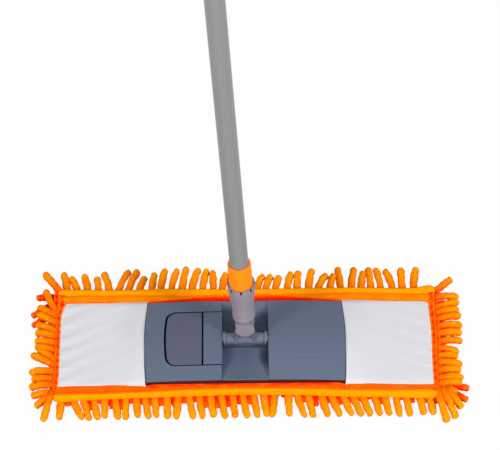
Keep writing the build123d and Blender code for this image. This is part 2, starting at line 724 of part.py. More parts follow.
def long_fringe(low, high, rng):
    """Fingers along the back and front edges of one stretch of the pad."""
    fingers = []
    count = round((high - low) / FINGER_PITCH)
    pitch = (high - low) / count
    for side, limit, tip_z in ((1, FRINGE_BACK, TIP_Z_BACK), (-1, FRINGE_FRONT, TIP_Z_FRONT)):
        for index in range(count):
            root = (low + (index + 0.5) * pitch, side * BACKING_HALF_Y)
            reach = limit - BACKING_HALF_Y - rng.uniform(0, UNEVEN)
            lean = SIDE_LEAN * math.sin(SIDE_WAVE * index + SIDE_PHASE * side)
            fingers.append(edge_finger(root, (0, side), reach, lean, tip_z))
    return fingers


def end_fringe(end, rng):
    """Fingers along one end of the pad, and one at each of its corners."""
    fingers = []
    count = round(2 * BACKING_HALF_Y / FINGER_PITCH)
    pitch = 2 * BACKING_HALF_Y / count
    for index in range(1, count - 1):
        root = (end * BACKING_HALF_X, -BACKING_HALF_Y + (index + 0.5) * pitch)
        short = 0 if index == count // 2 else rng.uniform(0, UNEVEN)
        lean = END_LEAN * math.sin(END_WAVE * index)
        fingers.append(edge_finger(root, (end, 0), FRINGE_X - BACKING_HALF_X - short, lean, TIP_Z_END))
    for side in (-1, 1):
        corner = (end * (BACKING_HALF_X - CORNER_IN), side * (BACKING_HALF_Y - CORNER_IN))
        slant = (end * DIAGONAL, side * DIAGONAL)
        fingers.append(edge_finger(corner, slant, CORNER_REACH, 0, TIP_Z_CORNER))
    return fingers


def stub(root, foot):
    """Short three-sided finger under the pad, with level ends."""
    sections = [Pos(*point) * RegularPolygon(STUB_R, 3) for point in (foot, root)]
    return loft(sections, ruled=True)


def stubs(low, high, rng):
    """Short fingers under one stretch of the pad, which the mop stands on."""
    fingers = []
    half_y = BACKING_HALF_Y - STUB_MARGIN
    columns = round((high - low) / STUB_PITCH)
    rows = round(2 * half_y / STUB_PITCH)
    step_x = (high - low) / columns
    step_y = 2 * half_y / rows
    for column in range(columns):
        for row in range(rows):
            x = low + (column + 0.5) * step_x
            y = -half_y + (row + 0.5) * step_y
            lean_x = STUB_LEAN * math.sin(STUB_ROW_WAVE * row)
            lean_y = STUB_LEAN * math.cos(STUB_COLUMN_WAVE * column) * rng.uniform(STUB_LEAST, 1)
            fingers.append(stub((x, y, PILE_TOP + ROOT_BITE), (x + lean_x, y + lean_y, -FLOOR_CUT)))
    return fingers


def make_chenille(name, low, high, rng):
    """Cloth with its fringe and underside fingers, cut flat where it stands on the floor."""
    x = inside_backing(low, high)
    cloth = span_box(x, both_ways(BACKING_HALF_Y), (PILE_TOP, CLOTH_TOP))
    inner = (x[0] + STUB_END_GAP, x[1] - STUB_END_GAP)
    fingers = long_fringe(*(inner if name == "middle" else x), rng) + stubs(*inner, rng)
    if name == "left":
        fingers += end_fringe(-1, rng)
    if name == "right":
        fingers += end_fringe(1, rng)
    floor = span_box(both_ways(2 * FRINGE_X), both_ways(2 * FRINGE_BACK), (-BEYOND, 0))
    return cloth + fingers - floor


def all_parts():
    """Every piece of the mop under its node name."""
    rng = random.Random(SEED)
    parts = {
        "right_half": make_right_half(),
        "left_half": make_left_half(),
        "fold_pin": rod_y(FOLD_PIN_R, WALL + RUN - FRAME_HALF_Y, FRAME_HALF_Y, FOLD_X, FOLD_Z),
        "pedal": make_pedal(),
        "pedal_spring": make_pedal_spring(),
        "cross_joint": make_cross_joint(),
        "tilt_axle": rod_x(AXLE_R, *both_ways(AXLE_HALF), 0, BARREL_Z),
        "handle_socket": make_socket(),
        "sway_pin": make_sway_pin(),
        "collar": make_collar(),
        "lower_tube": tube(TUBE_R, TUBE_FROM, TUBE_TO),
        "lock_collet": make_lock_collet(),
        "lock_nut": make_lock_nut(),
        "upper_tube": tube(INNER_R, INNER_FROM, INNER_TO),
        "tube_guide": make_tube_guide(),
        "grip": make_grip(),
        "hang_cap": make_hang_cap(),
        "pocket_left": make_pocket(-1),
        "pocket_right": make_pocket(1),
    }
    for name, (low, high) in pad_spans().items():
        parts[f"pad_backing_{name}"] = make_backing(low, high)
        parts[f"binding_{name}"] = make_binding(name, low, high)
        parts[f"chenille_{name}"] = make_chenille(name, low, high, rng)
    return parts


os.makedirs("parts", exist_ok=True)
for node, solid in all_parts().items():
    export_step(solid, f"parts/{node}.step")
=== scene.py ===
"""Flat mop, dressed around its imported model: folding frame, chenille pad and telescopic handle."""

import logging
import math
import random
from contextlib import contextmanager
from dataclasses import dataclass
from enum import Enum
from typing import Any, Iterator, Sequence

import bpy
import numpy as np
from mathutils import Matrix, Vector, noise


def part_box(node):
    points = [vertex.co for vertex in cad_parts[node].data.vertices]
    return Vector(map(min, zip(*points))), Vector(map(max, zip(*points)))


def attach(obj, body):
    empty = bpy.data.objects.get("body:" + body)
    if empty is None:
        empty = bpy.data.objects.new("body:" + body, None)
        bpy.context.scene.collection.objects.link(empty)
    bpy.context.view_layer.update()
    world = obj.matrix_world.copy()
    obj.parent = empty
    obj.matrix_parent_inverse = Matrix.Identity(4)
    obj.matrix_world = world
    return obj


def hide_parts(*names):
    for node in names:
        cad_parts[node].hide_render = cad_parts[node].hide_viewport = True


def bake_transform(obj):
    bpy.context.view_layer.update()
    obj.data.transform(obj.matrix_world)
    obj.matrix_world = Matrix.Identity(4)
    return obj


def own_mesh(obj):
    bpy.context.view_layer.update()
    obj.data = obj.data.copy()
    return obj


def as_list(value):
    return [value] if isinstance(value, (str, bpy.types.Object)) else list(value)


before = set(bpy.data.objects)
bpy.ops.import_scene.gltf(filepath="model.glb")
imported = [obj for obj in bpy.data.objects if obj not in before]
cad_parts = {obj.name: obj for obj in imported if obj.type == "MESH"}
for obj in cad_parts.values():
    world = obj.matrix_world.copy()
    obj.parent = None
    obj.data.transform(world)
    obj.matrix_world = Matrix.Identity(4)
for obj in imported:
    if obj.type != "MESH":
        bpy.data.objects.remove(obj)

Piece = bpy.types.Object
Material = bpy.types.Material
Tree = bpy.types.NodeTree
Socket = bpy.types.NodeSocket
Point = tuple[float, float, float]

MM = 0.001
MERGE_M = 0.00001

log = logging.getLogger("mop")


class Hold(Enum):
    """What a piece moves with: one side of the frame, or, for the pad over the fold, neither: its place is
    fixed.
    """

    RIGHT = "right_side"
    LEFT = "left_side"
    FOLD = "over the fold"


class Labelled(Enum):
    """Choice whose name is a word in the names of pieces and nodes."""

    @property
    def label(self) -> str:
        """The choice's word."""
        return self.name.lower()


class Side(Labelled):
    """End of the pad, as the sign of X."""

    LEFT = -1
    RIGHT = 1

    @property
    def hold(self) -> Hold:
        """Side of the frame that this end moves with."""
        return Hold[self.name]


class Edge(Labelled):
    """Long edge of the pad, as the sign of Y."""

    FRONT = -1
    BACK = 1


def linear(code: str) -> tuple[float, float, float, float]:
    """Turns an sRGB hex colour into linear light.

    Args:
        code: Colour as #rrggbb.

    Returns:
        Linear red, green and blue, with full alpha.
    """
    shares = [int(code[index:index + 2], 16) / 255 for index in (1, 3, 5)]
    red, green, blue = (s / 12.92 if s <= 0.04045 else ((s + 0.055) / 1.055) ** 2.4 for s in shares)
    return (red, green, blue, 1.0)


def per_size(millimetres: float) -> float:
    """Noise scale that gives features of this size on Object coordinates in metres."""
    return 1.0 / (millimetres * MM)


def per_thread(millimetres: float) -> float:
    """Wave scale that gives bands at this spacing on Object coordinates in metres."""
    return 2 * math.pi / 20 / (millimetres * MM)


def blank_tree(owner: Material | bpy.types.World) -> Tree:
    """Gives a material or world an empty node tree.

    Args:
        owner: The material or world.

    Returns:
        Its tree.
    """
    owner.use_nodes = True
    owner.node_tree.nodes.clear()
    return owner.node_tree


def add_node(
    tree: Tree, kind: str, inputs: dict[Any, Any] | None = None, out: int | str = 0, **settings: Any
) -> Socket | None:
    """Adds one shader node, with its settings and its links.

    Args:
        tree: Tree that takes the node.
        kind: Blender's name of the node type, without the leading ShaderNode.
        inputs: Socket names or numbers, each with a value or the socket that feeds it.
        out: Name or number of the output that is wanted.
        settings: Properties of the node itself.

    Returns:
        That output of the node, or nothing where a node has none.
    """
    node = tree.nodes.new(f"ShaderNode{kind}")
    for name, value in settings.items():
        setattr(node, name, value)
    for name, value in (inputs or {}).items():
        if isinstance(value, Socket):
            tree.links.new(value, node.inputs[name])
        else:
            node.inputs[name].default_value = value
    return node.outputs[out] if node.outputs else None


@dataclass(frozen=True)
class GapShade:
    """Shade painted on the upright faces inside a box, in millimetres, which deepens a gap's or a wall's
    shadow.
    """

    left: float
    right: float
    front: float
    back: float
    colour: str
    upright: float = 0.5

    def share(self, tree: Tree, place: Socket) -> Socket:
        """Makes the mask of the shade.

        Args:
            tree: Tree that gets the nodes.
            place: Object coordinates.

        Returns:
            Socket that is 1 in the shade and 0 outside it.
        """
        axes = add_node(tree, "SeparateXYZ", {0: place}).node.outputs
        facing = add_node(tree, "NewGeometry", out="Normal")
        upward = add_node(tree, "SeparateXYZ", {0: facing}, "Z")
        share = add_node(tree, "Math", {0: upward, 1: self.upright}, operation="LESS_THAN")
        for axis, low, high in (("X", self.left, self.right), ("Y", self.front, self.back)):
            for limit, test in ((low, "GREATER_THAN"), (high, "LESS_THAN")):
                inside = add_node(tree, "Math", {0: axes[axis], 1: limit * MM}, operation=test)
                share = add_node(tree, "Math", {0: share, 1: inside}, operation="MULTIPLY")
        return share


@dataclass(frozen=True)
class CornerShade:
    """Shade painted round a point of the saddle, in millimetres, which stands in for a deep shadow.

    It fades from a share of its radius on, and ends at the saddle's side walls.
    """

    place: Point
    radius: float
    colour: str = "#08183a"
    full: float = 0.45
    saddle_half: float = 25.1

    def share(self, tree: Tree, place: Socket) -> Socket:
        """Makes the mask of the shade.

        Args:
            tree: Tree that gets the nodes.
            place: Object coordinates.

        Returns:
            Socket that falls from 1 at the point to 0 outside the shade.
        """
        middle = tuple(value * MM for value in self.place)
        away = add_node(tree, "VectorMath", {0: place, 1: middle}, "Value", operation="DISTANCE")
        fade = {"From Min": self.radius * self.full * MM, "From Max": self.radius * MM}
        fade.update({"Value": away, "To Min": 1.0, "To Max": 0.0})
        near = add_node(tree, "MapRange", fade, interpolation_type="SMOOTHSTEP")
        along = add_node(tree, "SeparateXYZ", {0: place}, "X")
        off_middle = add_node(tree, "Math", {0: along}, operation="ABSOLUTE")
        inside = add_node(tree, "Math", {0: off_middle, 1: self.saddle_half * MM}, operation="LESS_THAN")
        return add_node(tree, "Math", {0: near, 1: inside}, operation="MULTIPLY")


@dataclass(frozen=True)
class Finish:
    """Surface of one real material, which reads Object coordinates and ends in one Principled shader."""

    name: str
    colour: str

    def make(self) -> Material:
        """Builds the material.

        Returns:
            The material.
        """
        material = bpy.data.materials.new(self.name)
        tree = blank_tree(material)
        place = add_node(tree, "TexCoord", out="Object")
        shader = add_node(tree, "BsdfPrincipled", self.sockets(tree, place))
        add_node(tree, "OutputMaterial", {"Surface": shader})
        return material

    def sockets(self, tree: Tree, place: Socket) -> dict[str, Any]:
        """Makes what feeds the shader.

        Args:
            tree: Tree that gets the nodes.
            place: Object coordinates.

        Returns:
            Sockets of the shader, each with a value or the socket that feeds it.
        """
        raise NotImplementedError


@dataclass(frozen=True)
class MouldedPlastic(Finish):
    """Injection-moulded plastic: an even body colour with slight flow clouds and a fine matt grain."""

    cloud_colour: str
    roughness: float = 0.42
    specular: float = 0.5
    shades: tuple[GapShade | CornerShade, ...] = ()
    grain_mm: float = 0.7
    grain_depth_mm: float = 0.02
    cloud_mm: float = 45.0
    ior: float = 1.49

    def sockets(self, tree: Tree, place: Socket) -> dict[str, Any]:
        """Makes the clouded colour with its painted shades, and the grain.

        Args:
            tree: Tree that gets the nodes.
            place: Object coordinates.

        Returns:
            Sockets of the shader, each with a value or the socket that feeds it.
        """
        clouds = {"Vector": place, "Scale": per_size(self.cloud_mm), "Detail": 3.0}
        grains = {"Vector": place, "Scale": per_size(self.grain_mm), "Detail": 2.0}
        cloud = add_node(tree, "TexNoise", clouds, "Fac")
        tints = {0: cloud, 6: linear(self.colour), 7: linear(self.cloud_colour)}
        body = add_node(tree, "Mix", tints, 2, data_type="RGBA")
        for shade in self.shades:
            tints = {0: shade.share(tree, place), 6: body, 7: linear(shade.colour)}
            body = add_node(tree, "Mix", tints, 2, data_type="RGBA")
        grain = add_node(tree, "TexNoise", grains, "Fac")
        rough = {"Value": grain, "To Min": self.roughness - 0.05, "To Max": self.roughness + 0.06}
        relief = {"Height": grain, "Strength": 0.6, "Distance": self.grain_depth_mm * MM}
        relief.update(self.under_grain(tree, place))
        return {
            "Base Color": body,
            "Roughness": add_node(tree, "MapRange", rough),
            "Normal": add_node(tree, "Bump", relief),
            "IOR": self.ior,
            "Specular IOR Level": self.specular,
        }

    def under_grain(self, tree: Tree, place: Socket) -> dict[str, Socket]:
        """Coarser relief that the grain lies on, which plain mouldings lack."""
        return {}


@dataclass(frozen=True)
class FramePlastic(MouldedPlastic):
    """Polypropylene of the frame, with faint sink marks over the ribs under its covers."""

    rib_mm: float = 26.0
    sink_half_mm: float = 3.4
    sink_depth_mm: float = 0.12

    def under_grain(self, tree: Tree, place: Socket) -> dict[str, Socket]:
        """Makes the relief of the sink marks along the ribs.

        Args:
            tree: Tree that gets the nodes.
            place: Object coordinates.

        Returns:
            The bump's socket with the normal that feeds it.
        """
        across = add_node(tree, "SeparateXYZ", {0: place}, "Y")
        off_middle = add_node(tree, "Math", {0: across}, operation="ABSOLUTE")
        off_rib = add_node(tree, "Math", {0: off_middle, 1: self.rib_mm * MM}, operation="SUBTRACT")
        away = {"Value": add_node(tree, "Math", {0: off_rib}, operation="ABSOLUTE")}
        away["From Max"] = self.sink_half_mm * MM
        sink = add_node(tree, "MapRange", away, interpolation_type="SMOOTHSTEP")
        dip = {"Height": sink, "Strength": 1.0, "Distance": self.sink_depth_mm * MM}
        return {"Normal": add_node(tree, "Bump", dip)}


@dataclass(frozen=True)
class EnamelledTube(Finish):
    """Stove enamel on thin steel tube: an even satin coat with a slight orange-peel ripple."""

    roughness: float = 0.4
    peel_mm: float = 2.2
    peel_depth_mm: float = 0.012

    def sockets(self, tree: Tree, place: Socket) -> dict[str, Any]:
        """Makes the ripple of the coat.

        Args:
            tree: Tree that gets the nodes.
            place: Object coordinates.

        Returns:
            Sockets of the shader, each with a value or the socket that feeds it.
        """
        peels = {"Vector": place, "Scale": per_size(self.peel_mm), "Detail": 1.0}
        peel = add_node(tree, "TexNoise", peels, "Fac")
        relief = {"Height": peel, "Strength": 0.5, "Distance": self.peel_depth_mm * MM}
        return {
            "Base Color": linear(self.colour),
            "Roughness": self.roughness,
            "Normal": add_node(tree, "Bump", relief),
            "IOR": 1.5,
            "Specular IOR Level": 0.3,
        }


@dataclass(frozen=True)
class DrawnSteel(Finish):
    """Drawn steel wire and strip, with a fine uneven gloss from the draw."""

    roughness: float = 0.32
    line_mm: float = 0.4

    def sockets(self, tree: Tree, place: Socket) -> dict[str, Any]:
        """Makes the uneven gloss.

        Args:
            tree: Tree that gets the nodes.
            place: Object coordinates.

        Returns:
            Sockets of the shader, each with a value or the socket that feeds it.
        """
        lines = {"Vector": place, "Scale": per_size(self.line_mm), "Detail": 2.0}
        rough = {"To Min": self.roughness - 0.08, "To Max": self.roughness + 0.1}
        rough["Value"] = add_node(tree, "TexNoise", lines, "Fac")
        gloss = add_node(tree, "MapRange", rough)
        return {"Base Color": linear(self.colour), "Metallic": 1.0, "Roughness": gloss}


@dataclass(frozen=True)
class WovenCloth(Finish):
    """Plain-woven polyester: two crossing sets of threads, a soft sheen and slightly uneven whiteness.

    The threads are drawn coarser than real ones, or they would not show.
    """

    shade_colour: str
    thread_mm: float = 0.9
    thread_depth_mm: float = 0.07
    shade_mm: float = 14.0
    sheen: float = 0.15
    roughness: float = 0.9

    def sockets(self, tree: Tree, place: Socket) -> dict[str, Any]:
        """Makes the weave and its uneven tint.

        Args:
            tree: Tree that gets the nodes.
            place: Object coordinates.

        Returns:
            Sockets of the shader, each with a value or the socket that feeds it.
        """
        threads = {"Vector": place, "Scale": per_thread(self.thread_mm), "Distortion": 0.6}
        warp, weft = (add_node(tree, "TexWave", threads, "Fac", bands_direction=way) for way in "XY")
        weave = add_node(tree, "Math", {0: warp, 1: weft}, operation="MULTIPLY")
        clouds = {"Vector": place, "Scale": per_size(self.shade_mm), "Detail": 4.0}
        uneven = add_node(tree, "TexNoise", clouds, "Fac")
        share = add_node(tree, "Math", {0: weave, 1: uneven}, operation="MULTIPLY")
        tints = {0: share, 6: linear(self.colour), 7: linear(self.shade_colour)}
        relief = {"Height": weave, "Strength": 0.7, "Distance": self.thread_depth_mm * MM}
        return {
            "Base Color": add_node(tree, "Mix", tints, 2, data_type="RGBA"),
            "Roughness": self.roughness,
            "Normal": add_node(tree, "Bump", relief),
            "Sheen Weight": self.sheen,
            "Sheen Roughness": 0.5,
            "Specular IOR Level": 0.25,
        }


@dataclass(frozen=True)
class DyedCloth(Finish):
    """Orange microfibre, from its lit orange to a deep red that is painted shade where cloth shades cloth.

    The tone between the two is stored on the mesh as painted shade with some random unevenness, so that it
    keeps its place in every view; the subsurface scattering gives the shade some true red glow as well.
    """

    deep_colour: str
    tuft_mm: float
    tuft_depth_mm: float
    sheen: float
    sheen_colour: str = "#ff6a00"
    fleck: float = 0.3

    def sockets(self, tree: Tree, place: Socket) -> dict[str, Any]:
        """Makes the tufts, and the colour from the mesh's tone.

        Args:
            tree: Tree that gets the nodes.
            place: Object coordinates.

        Returns:
            Sockets of the shader, each with a value or the socket that feeds it.
        """
        tufts = {"Vector": place, "Scale": per_size(self.tuft_mm), "Detail": 3.0}
        tuft = add_node(tree, "TexNoise", tufts, "Fac")
        tone = add_node(tree, "Attribute", out="Fac", attribute_name="tone")
        flecks = add_node(tree, "MapRange", {"Value": tuft, "To Min": -self.fleck, "To Max": self.fleck})
        share = add_node(tree, "Math", {0: tone, 1: flecks}, operation="ADD", use_clamp=True)
        tints = {0: share, 6: linear(self.colour), 7: linear(self.deep_colour)}
        relief = {"Height": tuft, "Strength": 0.9, "Distance": self.tuft_depth_mm * MM}
        return {
            "Base Color": add_node(tree, "Mix", tints, 2, data_type="RGBA"),
            "Roughness": 0.95,
            "Normal": add_node(tree, "Bump", relief),
            "Sheen Weight": self.sheen,
            "Sheen Roughness": 0.5,
            "Sheen Tint": linear(self.sheen_colour),
            "Specular IOR Level": 0.04,
            "Subsurface Weight": 0.6,
            "Subsurface Radius": (1.0, 0.2, 0.04),
            "Subsurface Scale": 0.003,
        }


class Finishes:
    """Every material of the mop, made once."""

    def __init__(self) -> None:
        """Makes the materials."""
        gap = GapShade(-89.0, -24.0, -37.0, 37.0, "#101116")
        shades = (
            gap,
            # Painted shade on the frame's front wall, tinted by a painted red reflection of the tape.
            GapShade(-111.0, 111.0, -53.6, -52.0, "#3a2026"),
            CornerShade((-21.0, 26.0, 20.0), 27.0),
            CornerShade((23.0, 22.0, 20.0), 24.0),
            CornerShade((-31.0, -20.0, 21.0), 24.0, "#424f6c"),
            CornerShade((31.0, -21.0, 21.0), 20.0, "#18243e"),
        )
        self.frame = FramePlastic(
            "moulded polypropylene, blue grey", "#556074", "#515d70", specular=0.3, shades=shades
        ).make()
        self.pedal = MouldedPlastic(
            "moulded polypropylene, purple grey", "#52546a", "#4e5066", specular=0.25, shades=(gap,)
        ).make()
        self.joint = MouldedPlastic("moulded ABS, warm grey", "#8b848e", "#847d87", specular=0.25).make()
        self.tee = MouldedPlastic("moulded ABS, blue grey", "#656a7a", "#606575", specular=0.25).make()
        self.collar = MouldedPlastic("moulded ABS, orange", "#ff8a00", "#fd8400", 0.34, 0.12).make()
        self.lock = MouldedPlastic("moulded nylon, dark grey", "#55596a", "#50546a").make()
        self.grip = MouldedPlastic("moulded soft PVC, blue grey", "#5b6376", "#555d70", 0.6).make()
        self.tube = EnamelledTube("stove enamel, grey", "#7e7e7e").make()
        self.inner_tube = EnamelledTube("stove enamel, pale grey", "#9c9c9c").make()
        self.steel = DrawnSteel("drawn steel wire", "#b4b4b4").make()
        self.spring = DrawnSteel("rolled spring steel", "#9a9a98").make()
        self.pocket = WovenCloth("plain-woven polyester, white", "#d0cfd4", "#c6c5cb").make()
        # The backing's dark red is painted shade, for the gaps under the frame and the tape where it shows.
        self.backing = WovenCloth(
            "needled polyester backing, orange", "#4a1002", "#380a01", shade_mm=5.0
        ).make()
        self.thread = WovenCloth(
            "twisted sewing thread, orange", "#f47a06", "#e05a02", thread_mm=0.5
        ).make()
        # The second colour of each cloth is the deep red of its painted shade.
        self.tape = DyedCloth("woven binding tape, orange", "#ffa000", "#ff0c00", 1.1, 0.12, 0.4).make()
        self.chenille = DyedCloth("microfibre chenille, orange", "#ff9e00", "#ff0a00", 1.9, 1.1, 0.8).make()


def clear_selection() -> None:
    """Leaves object mode with nothing selected."""
    if bpy.context.object and bpy.context.object.mode != "OBJECT":
        bpy.ops.object.mode_set(mode="OBJECT")
    bpy.ops.object.select_all(action="DESELECT")


def pick(piece: Piece) -> None:
    """Makes one piece the only selected and the active one.

    Args:
        piece: The piece.
    """
    clear_selection()
    piece.select_set(True)
    bpy.context.view_layer.objects.active = piece


@contextmanager
def editing(piece: Piece) -> Iterator[None]:
    """Opens a piece in edit mode, all selected, and closes it again.

    Args:
        piece: Mesh object to edit.

    Yields:
        Nothing, while the piece is open.
    """
    pick(piece)
    bpy.ops.object.mode_set(mode="EDIT")
    bpy.ops.mesh.select_all(action="SELECT")
    yield
    bpy.ops.object.mode_set(mode="OBJECT")


def vertex_places(piece: Piece) -> np.ndarray:
    """Reads a mesh's vertices.

    Args:
        piece: Mesh object to read.

    Returns:
        Rows of X, Y and Z.
    """
    places = np.empty(len(piece.data.vertices) * 3, np.float32)
    piece.data.vertices.foreach_get("co", places)
    return places.reshape(-1, 3).astype(float)


def move_vertices(piece: Piece, places: np.ndarray) -> None:
    """Writes a mesh's vertices from rows of X, Y and Z in millimetres."""
    piece.data.vertices.foreach_set("co", (places * MM).astype(np.float32).ravel())
    piece.data.update()


def store_tone(piece: Piece, tone: np.ndarray) -> None:
    """Stores each vertex's place between the cloth's lit colour and the deep red of its painted shade on
    the mesh.
    """
    attribute = piece.data.attributes.new("tone", "FLOAT", "POINT")
    attribute.data.foreach_set("value", np.clip(tone, 0.0, 1.0).astype(np.float32))


def shaded_smooth(piece: Piece, degrees: float) -> None:
    """Shades a piece smooth except over edges sharper than this."""
    pick(piece)
    bpy.ops.object.shade_smooth_by_angle(angle=math.radians(degrees))


def new_grid(name: str, columns: int, rows: int) -> tuple[Piece, np.ndarray, np.ndarray]:
    """Adds a unit grid that a soft surface is shaped from.

    Args:
        name: Name of the piece.
        columns: Faces along the first direction.
        rows: Faces along the second direction.

    Returns:
        The grid, and each vertex's share from 0 to 1 along both directions.
    """
    clear_selection()
    bpy.ops.mesh.primitive_grid_add(x_subdivisions=columns, y_subdivisions=rows, size=1.0)
    piece = bpy.context.object
    piece.name = name
    piece.data.name = name
    flat = vertex_places(piece)
    return piece, flat[:, 0] + 0.5, flat[:, 1] + 0.5


def closed_loop(points: Sequence[tuple[float, float]], shares: np.ndarray) -> np.ndarray:
    """Places on a smooth closed curve through some points.

    Args:
        points: Points that the curve passes, in order.
        shares: Places from 0 to 1 round the curve.

    Returns:
        One row of two coordinates for each share.
    """
    knots = np.array(points, float)
    run = (shares % 1.0) * len(knots)
    first = np.floor(run).astype(int)
    part = (run - first)[:, None]
    p0, p1, p2, p3 = (knots[(first + step) % len(knots)] for step in (-1, 0, 1, 2))
    cubic = -0.5 * p0 + 1.5 * p1 - 1.5 * p2 + 0.5 * p3
    square = p0 - 2.5 * p1 + 2.0 * p2 - 0.5 * p3
    slope = 0.5 * (p2 - p0)
    return ((cubic * part + square) * part + slope) * part + p1


def ripple(places: np.ndarray, size_mm: float, seed: float) -> np.ndarray:
    """Smooth unevenness from -1 to 1 at each place.

    Args:
        places: Rows of coordinates in millimetres.
        size_mm: Size of the swells.
        seed: Moves the pattern.

    Returns:
        One value for each row.
    """
    scaled = places / size_mm
    return np.array([noise.noise(Vector((x + seed, y, z))) for x, y, z in scaled])


def smooth_step(low: float, high: float, values: np.ndarray) -> np.ndarray:
    """Rises smoothly from 0 at low to 1 at high."""
    share = np.clip((values - low) / (high - low), 0.0, 1.0)
    return share * share * (3 - 2 * share)


def bell(values: np.ndarray, middle: float, width: float) -> np.ndarray:
    """Falls smoothly from 1 at the middle to about a third at this width."""
    return np.exp(-(((values - middle) / width) ** 2))


def sewn_tube(piece: Piece) -> None:
    """Closes a rolled-up grid: merges its seam, fills its ends and turns its faces outwards.

    Args:
        piece: The rolled-up grid.
    """
    with editing(piece):
        bpy.ops.mesh.remove_doubles(threshold=MERGE_M)
        bpy.ops.mesh.select_all(action="DESELECT")
        bpy.ops.mesh.select_non_manifold(extend=False, use_boundary=True)
        bpy.ops.mesh.edge_face_add()
        bpy.ops.mesh.select_all(action="SELECT")
        bpy.ops.mesh.normals_make_consistent(inside=False)
    shaded_smooth(piece, 50.0)


def joined(name: str, parts: Sequence[Piece]) -> Piece:
    """Joins copies into one piece.

    Args:
        name: Name of the piece.
        parts: Copies to join.

    Returns:
        The joined piece.
    """
    clear_selection()
    for part in parts:
        part.select_set(True)
    bpy.context.view_layer.objects.active = parts[0]
    bpy.ops.object.join()
    piece = bpy.context.object
    piece.name = name
    piece.data.name = name
    with editing(piece):
        bpy.ops.mesh.normals_make_consistent(inside=False)
    return piece


def dress(piece: Piece, material: Material, slot: str, hold: Hold, nodes: Sequence[str]) -> Piece:
    """Gives a finished piece its material, parents it to the body that it moves with or fixes its place,
    and hides the CAD nodes that it stands for.

    Args:
        piece: Finished piece.
        material: Its material.
        slot: The record's slot that it takes its finish from; not used.
        hold: What it moves with.
        nodes: CAD nodes that it replaces.

    Returns:
        The same piece.
    """
    piece.data.materials.clear()
    piece.data.materials.append(material)
    if hold is Hold.FOLD:
        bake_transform(piece)
    else:
        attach(piece, hold.value)
    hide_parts(*nodes)
    log.info("%s: %d faces, %s", piece.name, len(piece.data.polygons), hold.value)
    return piece


def pad_nodes(layer: str) -> list[str]:
    """Names of one pad layer's CAD nodes, left of, over and right of the fold."""
    return [f"{layer}_{stretch}" for stretch in ("left", "middle", "right")]


@dataclass
class MouldedParts:
    """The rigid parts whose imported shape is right, which only need their finish."""

    finishes: Finishes

    def build(self) -> None:
        """Gives each rigid node its material."""
        finish = self.finishes
        chosen = {
            finish.frame: ("right_half", "left_half"),
            finish.pedal: ("pedal",),
            finish.steel: ("fold_pin", "tilt_axle", "sway_pin"),
            finish.tee: ("cross_joint",),
            finish.joint: ("handle_socket",),
            finish.collar: ("collar", "hang_cap"),
            finish.tube: ("lower_tube",),
            finish.inner_tube: ("upper_tube",),
            finish.lock: ("tube_guide", "lock_collet", "lock_nut"),
            finish.grip: ("grip",),
        }
        for material, nodes in chosen.items():
            for node in nodes:
                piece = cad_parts[node]
                piece.data.materials.clear()
                piece.data.materials.append(material)
                log.info("%s: %s", node, material.name)


@dataclass
class LeafSpring:
    """Leaf spring under the pedal, kept in its imported shape; on the mop it flattens towards its foot as
    the pedal goes down.
    """

    pressed: float = 0.6
    node: str = "pedal_spring"

    def build(self, finishes: Finishes) -> Piece:
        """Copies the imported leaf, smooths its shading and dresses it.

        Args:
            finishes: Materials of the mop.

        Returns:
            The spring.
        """
        piece = bpy.data.objects.new("leaf_spring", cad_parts[self.node].data.copy())
        bpy.context.scene.collection.objects.link(piece)
        with editing(piece):
            bpy.ops.mesh.remove_doubles(threshold=MERGE_M)
        shaded_smooth(piece, 30.0)
        dress(piece, finishes.spring, "spring_steel", Hold.LEFT, [self.node])
        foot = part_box(self.node)[0]
        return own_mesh(piece)


